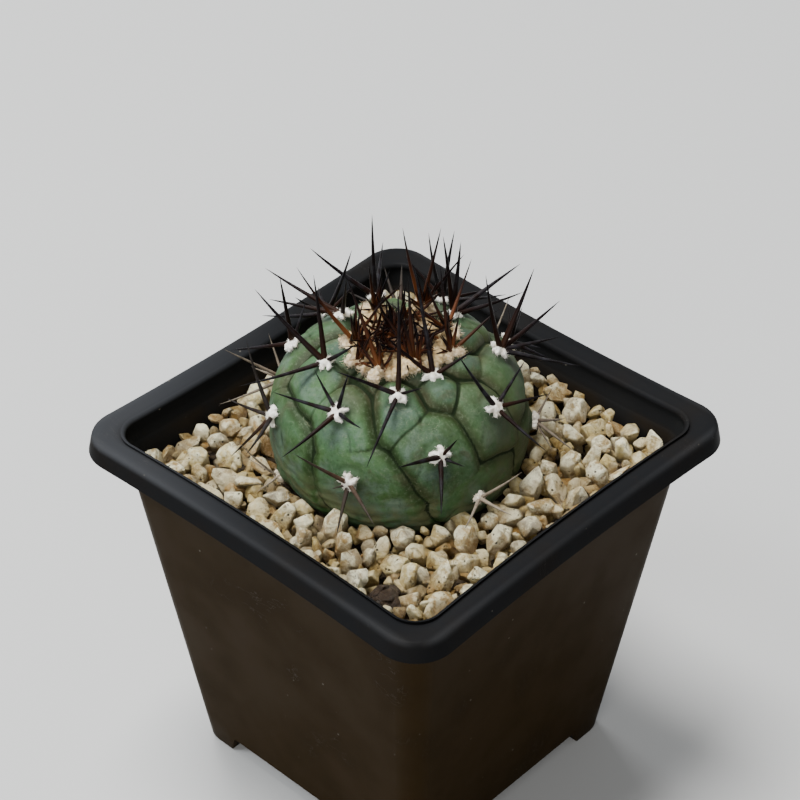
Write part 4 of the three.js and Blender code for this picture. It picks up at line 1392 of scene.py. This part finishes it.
# Lumps of wool are merged into one felt, roughened and given fibres. A lump is a ball's middle, its three
# directions and its size along each.
def feltPiece(name, lumps, voxel, rough, marksOf, seed, fibre, density):
    points, faces = [], []
    unit, unitFaces = ball
    for k, (middle, axes, sizes) in enumerate(lumps):
        faces += [tuple(i + k * len(unit) for i in f) for f in unitFaces]
        points.append(middle + (unit * np.array(sizes)) @ np.array(axes))
    source = linked(name, meshFrom(name, np.vstack(points), faces))
    merge = source.modifiers.new("merge", "REMESH")
    merge.mode, merge.voxel_size = "VOXEL", voxel * mm
    merged = evaluated(source)
    bpy.data.objects.remove(source)
    count = len(merged.vertices)
    spots, normals = np.zeros(count * 3), np.zeros(count * 3)
    merged.vertices.foreach_get("co", spots)
    merged.vertices.foreach_get("normal", normals)
    spots, normals = spots.reshape(-1, 3) / mm, normals.reshape(-1, 3)
    height, often = rough
    swell = np.array([noise.noise(Vector(p) * often) + 0.6 * noise.noise(Vector(p) * often * 2.3) for p in spots])
    spots = spots + normals * (height * swell)[:, None]
    merged.vertices.foreach_set("co", (spots * mm).ravel())
    setMarks(merged, marksOf(spots, swell))
    merged.shade_smooth()
    length, radius = fibre
    sizes = {"Density": density / mm / mm, "Length": length * mm, "Radius": radius * mm, "Bristle": wool["bristle"],
             "Seed": seed}
    mesh = grown(linked(name, merged), fibres, sizes)
    print(name + ":", len(mesh.polygons), "faces")
    return linked(name, mesh, felt)


# White stars: the arms of an areole's wool stand between its spines
def makeAreoleWool():
    lumps, bases, lows = [], [], []
    draw = random.Random(9)
    for number in numbers:
        seat = seats[number]
        base = seat["place"] + seat["normal"] * (seat["lift"] - 0.25)
        low = float(smooth(areoleAt(number)[1], 30, 44))
        bases.append(base)
        lows.append(low)
        size = 1 - 0.35 * low
        pad = wool["pad"] * size
        lumps.append((base, (seat["side"], seat["up"], seat["normal"]), (pad, pad, 0.55)))
        clocks = sorted(math.degrees(math.atan2(s["direction"] @ seat["side"], s["direction"] @ seat["up"])) % 360
                        for s in sprays[number])
        arms = []
        for k, clock in enumerate(clocks):
            room = (clocks[(k + 1) % len(clocks)] - clock) % 360 or 360
            count = max(1, round(room / 68))
            arms += [clock + room * (i + 0.5) / count for i in range(count)]
        for clock in arms:
            stretch, swing = size * draw.uniform(0.75, 1.1), draw.uniform(-8, 8)
            for k, (out, radius) in enumerate(wool["arm"]):
                angle = math.radians(clock + swing + k * draw.uniform(-7, 7))
                along = seat["up"] * math.cos(angle) + seat["side"] * math.sin(angle)
                across = np.cross(seat["normal"], along)
                rise = 0.38 - 0.12 * k + draw.uniform(-0.05, 0.1)
                middle = base + along * out * stretch + seat["normal"] * rise
                radius *= size * draw.uniform(0.85, 1.15)
                lumps.append((middle, (along, across, seat["normal"]), (radius * 1.1, radius * 0.85, radius)))
    bases, lows = np.array(bases), np.array(lows)

    def marksOf(spots, swell):
        distance = np.linalg.norm(spots[:, None] - bases[None], axis=2)
        near = distance.argmin(1)
        low = lows[near]
        middle = 1 - smooth(distance.min(1), 0.4, 1.3)
        # depth: painted shade in the middle of each star among the spine bases, and darker on the lower stars
        return {"tan": np.clip(0.02 + 0.5 * low - 0.2 * swell, 0, 1), "depth": 0.3 * middle + 0.15 * low}

    piece = feltPiece("areole_wool", lumps, wool["voxel"], wool["rough"], marksOf, 3, wool["fibre"], wool["fibres"])
    finished(piece, "wool")


# Cream wool that rings the growing point, in ragged clumps round the young areoles
def makeCrownWool():
    lumps = []
    draw = random.Random(31)
    top = onStem(0, 0)[0]

    def lump(turn, arc, radius, height):
        place, normal, up, side = onStem(turn, arc)
        sizes = (radius * draw.uniform(0.8, 1.2), radius * draw.uniform(0.8, 1.1), height)
        lumps.append((place + normal * (liftAt(place, arc) + 0.3 * height), (side, up, normal), sizes))

    for number in range(spiral["firstAreole"]):
        turn, arc = areoleAt(number)
        for _ in range(16):
            spin, out = draw.uniform(0, 2 * math.pi), 2.2 * draw.random() ** 0.7
            away = out * math.sin(spin) / max(float(np.interp(arc, lineArc, lineR)), 3)
            lump(turn + math.degrees(away), arc + out * math.cos(spin), draw.uniform(0.6, 1.2),
                 draw.uniform(0.5, 1.2))
    for _ in range(wool["crownLumps"]):
        arc = 1.0 + 8.4 * draw.random() ** 0.6
        lump(draw.uniform(0, 360), arc, draw.uniform(0.8, 1.4), draw.uniform(0.35, 0.8))

    def marksOf(spots, swell):
        out = np.hypot(spots[:, 0] - top[0], spots[:, 1] - top[1])
        tan = np.clip(1.2 - 0.4 * smooth(out, 7, 11.5) - 0.4 * swell, 0, 1)
        # depth: painted shade towards the growing point and in the felt's low places
        return {"tan": tan, "depth": np.clip((1 - smooth(out, 3.0, 8.4)) * 1.1 - 0.3 * swell, 0, 1)}

    piece = feltPiece("crown_wool", lumps, wool["crownVoxel"], wool["crownRough"], marksOf, 8, wool["crownFibre"],
                      wool["crownFibres"])
    finished(piece, "wool", "crown")


makeAreoleWool()
makeCrownWool()
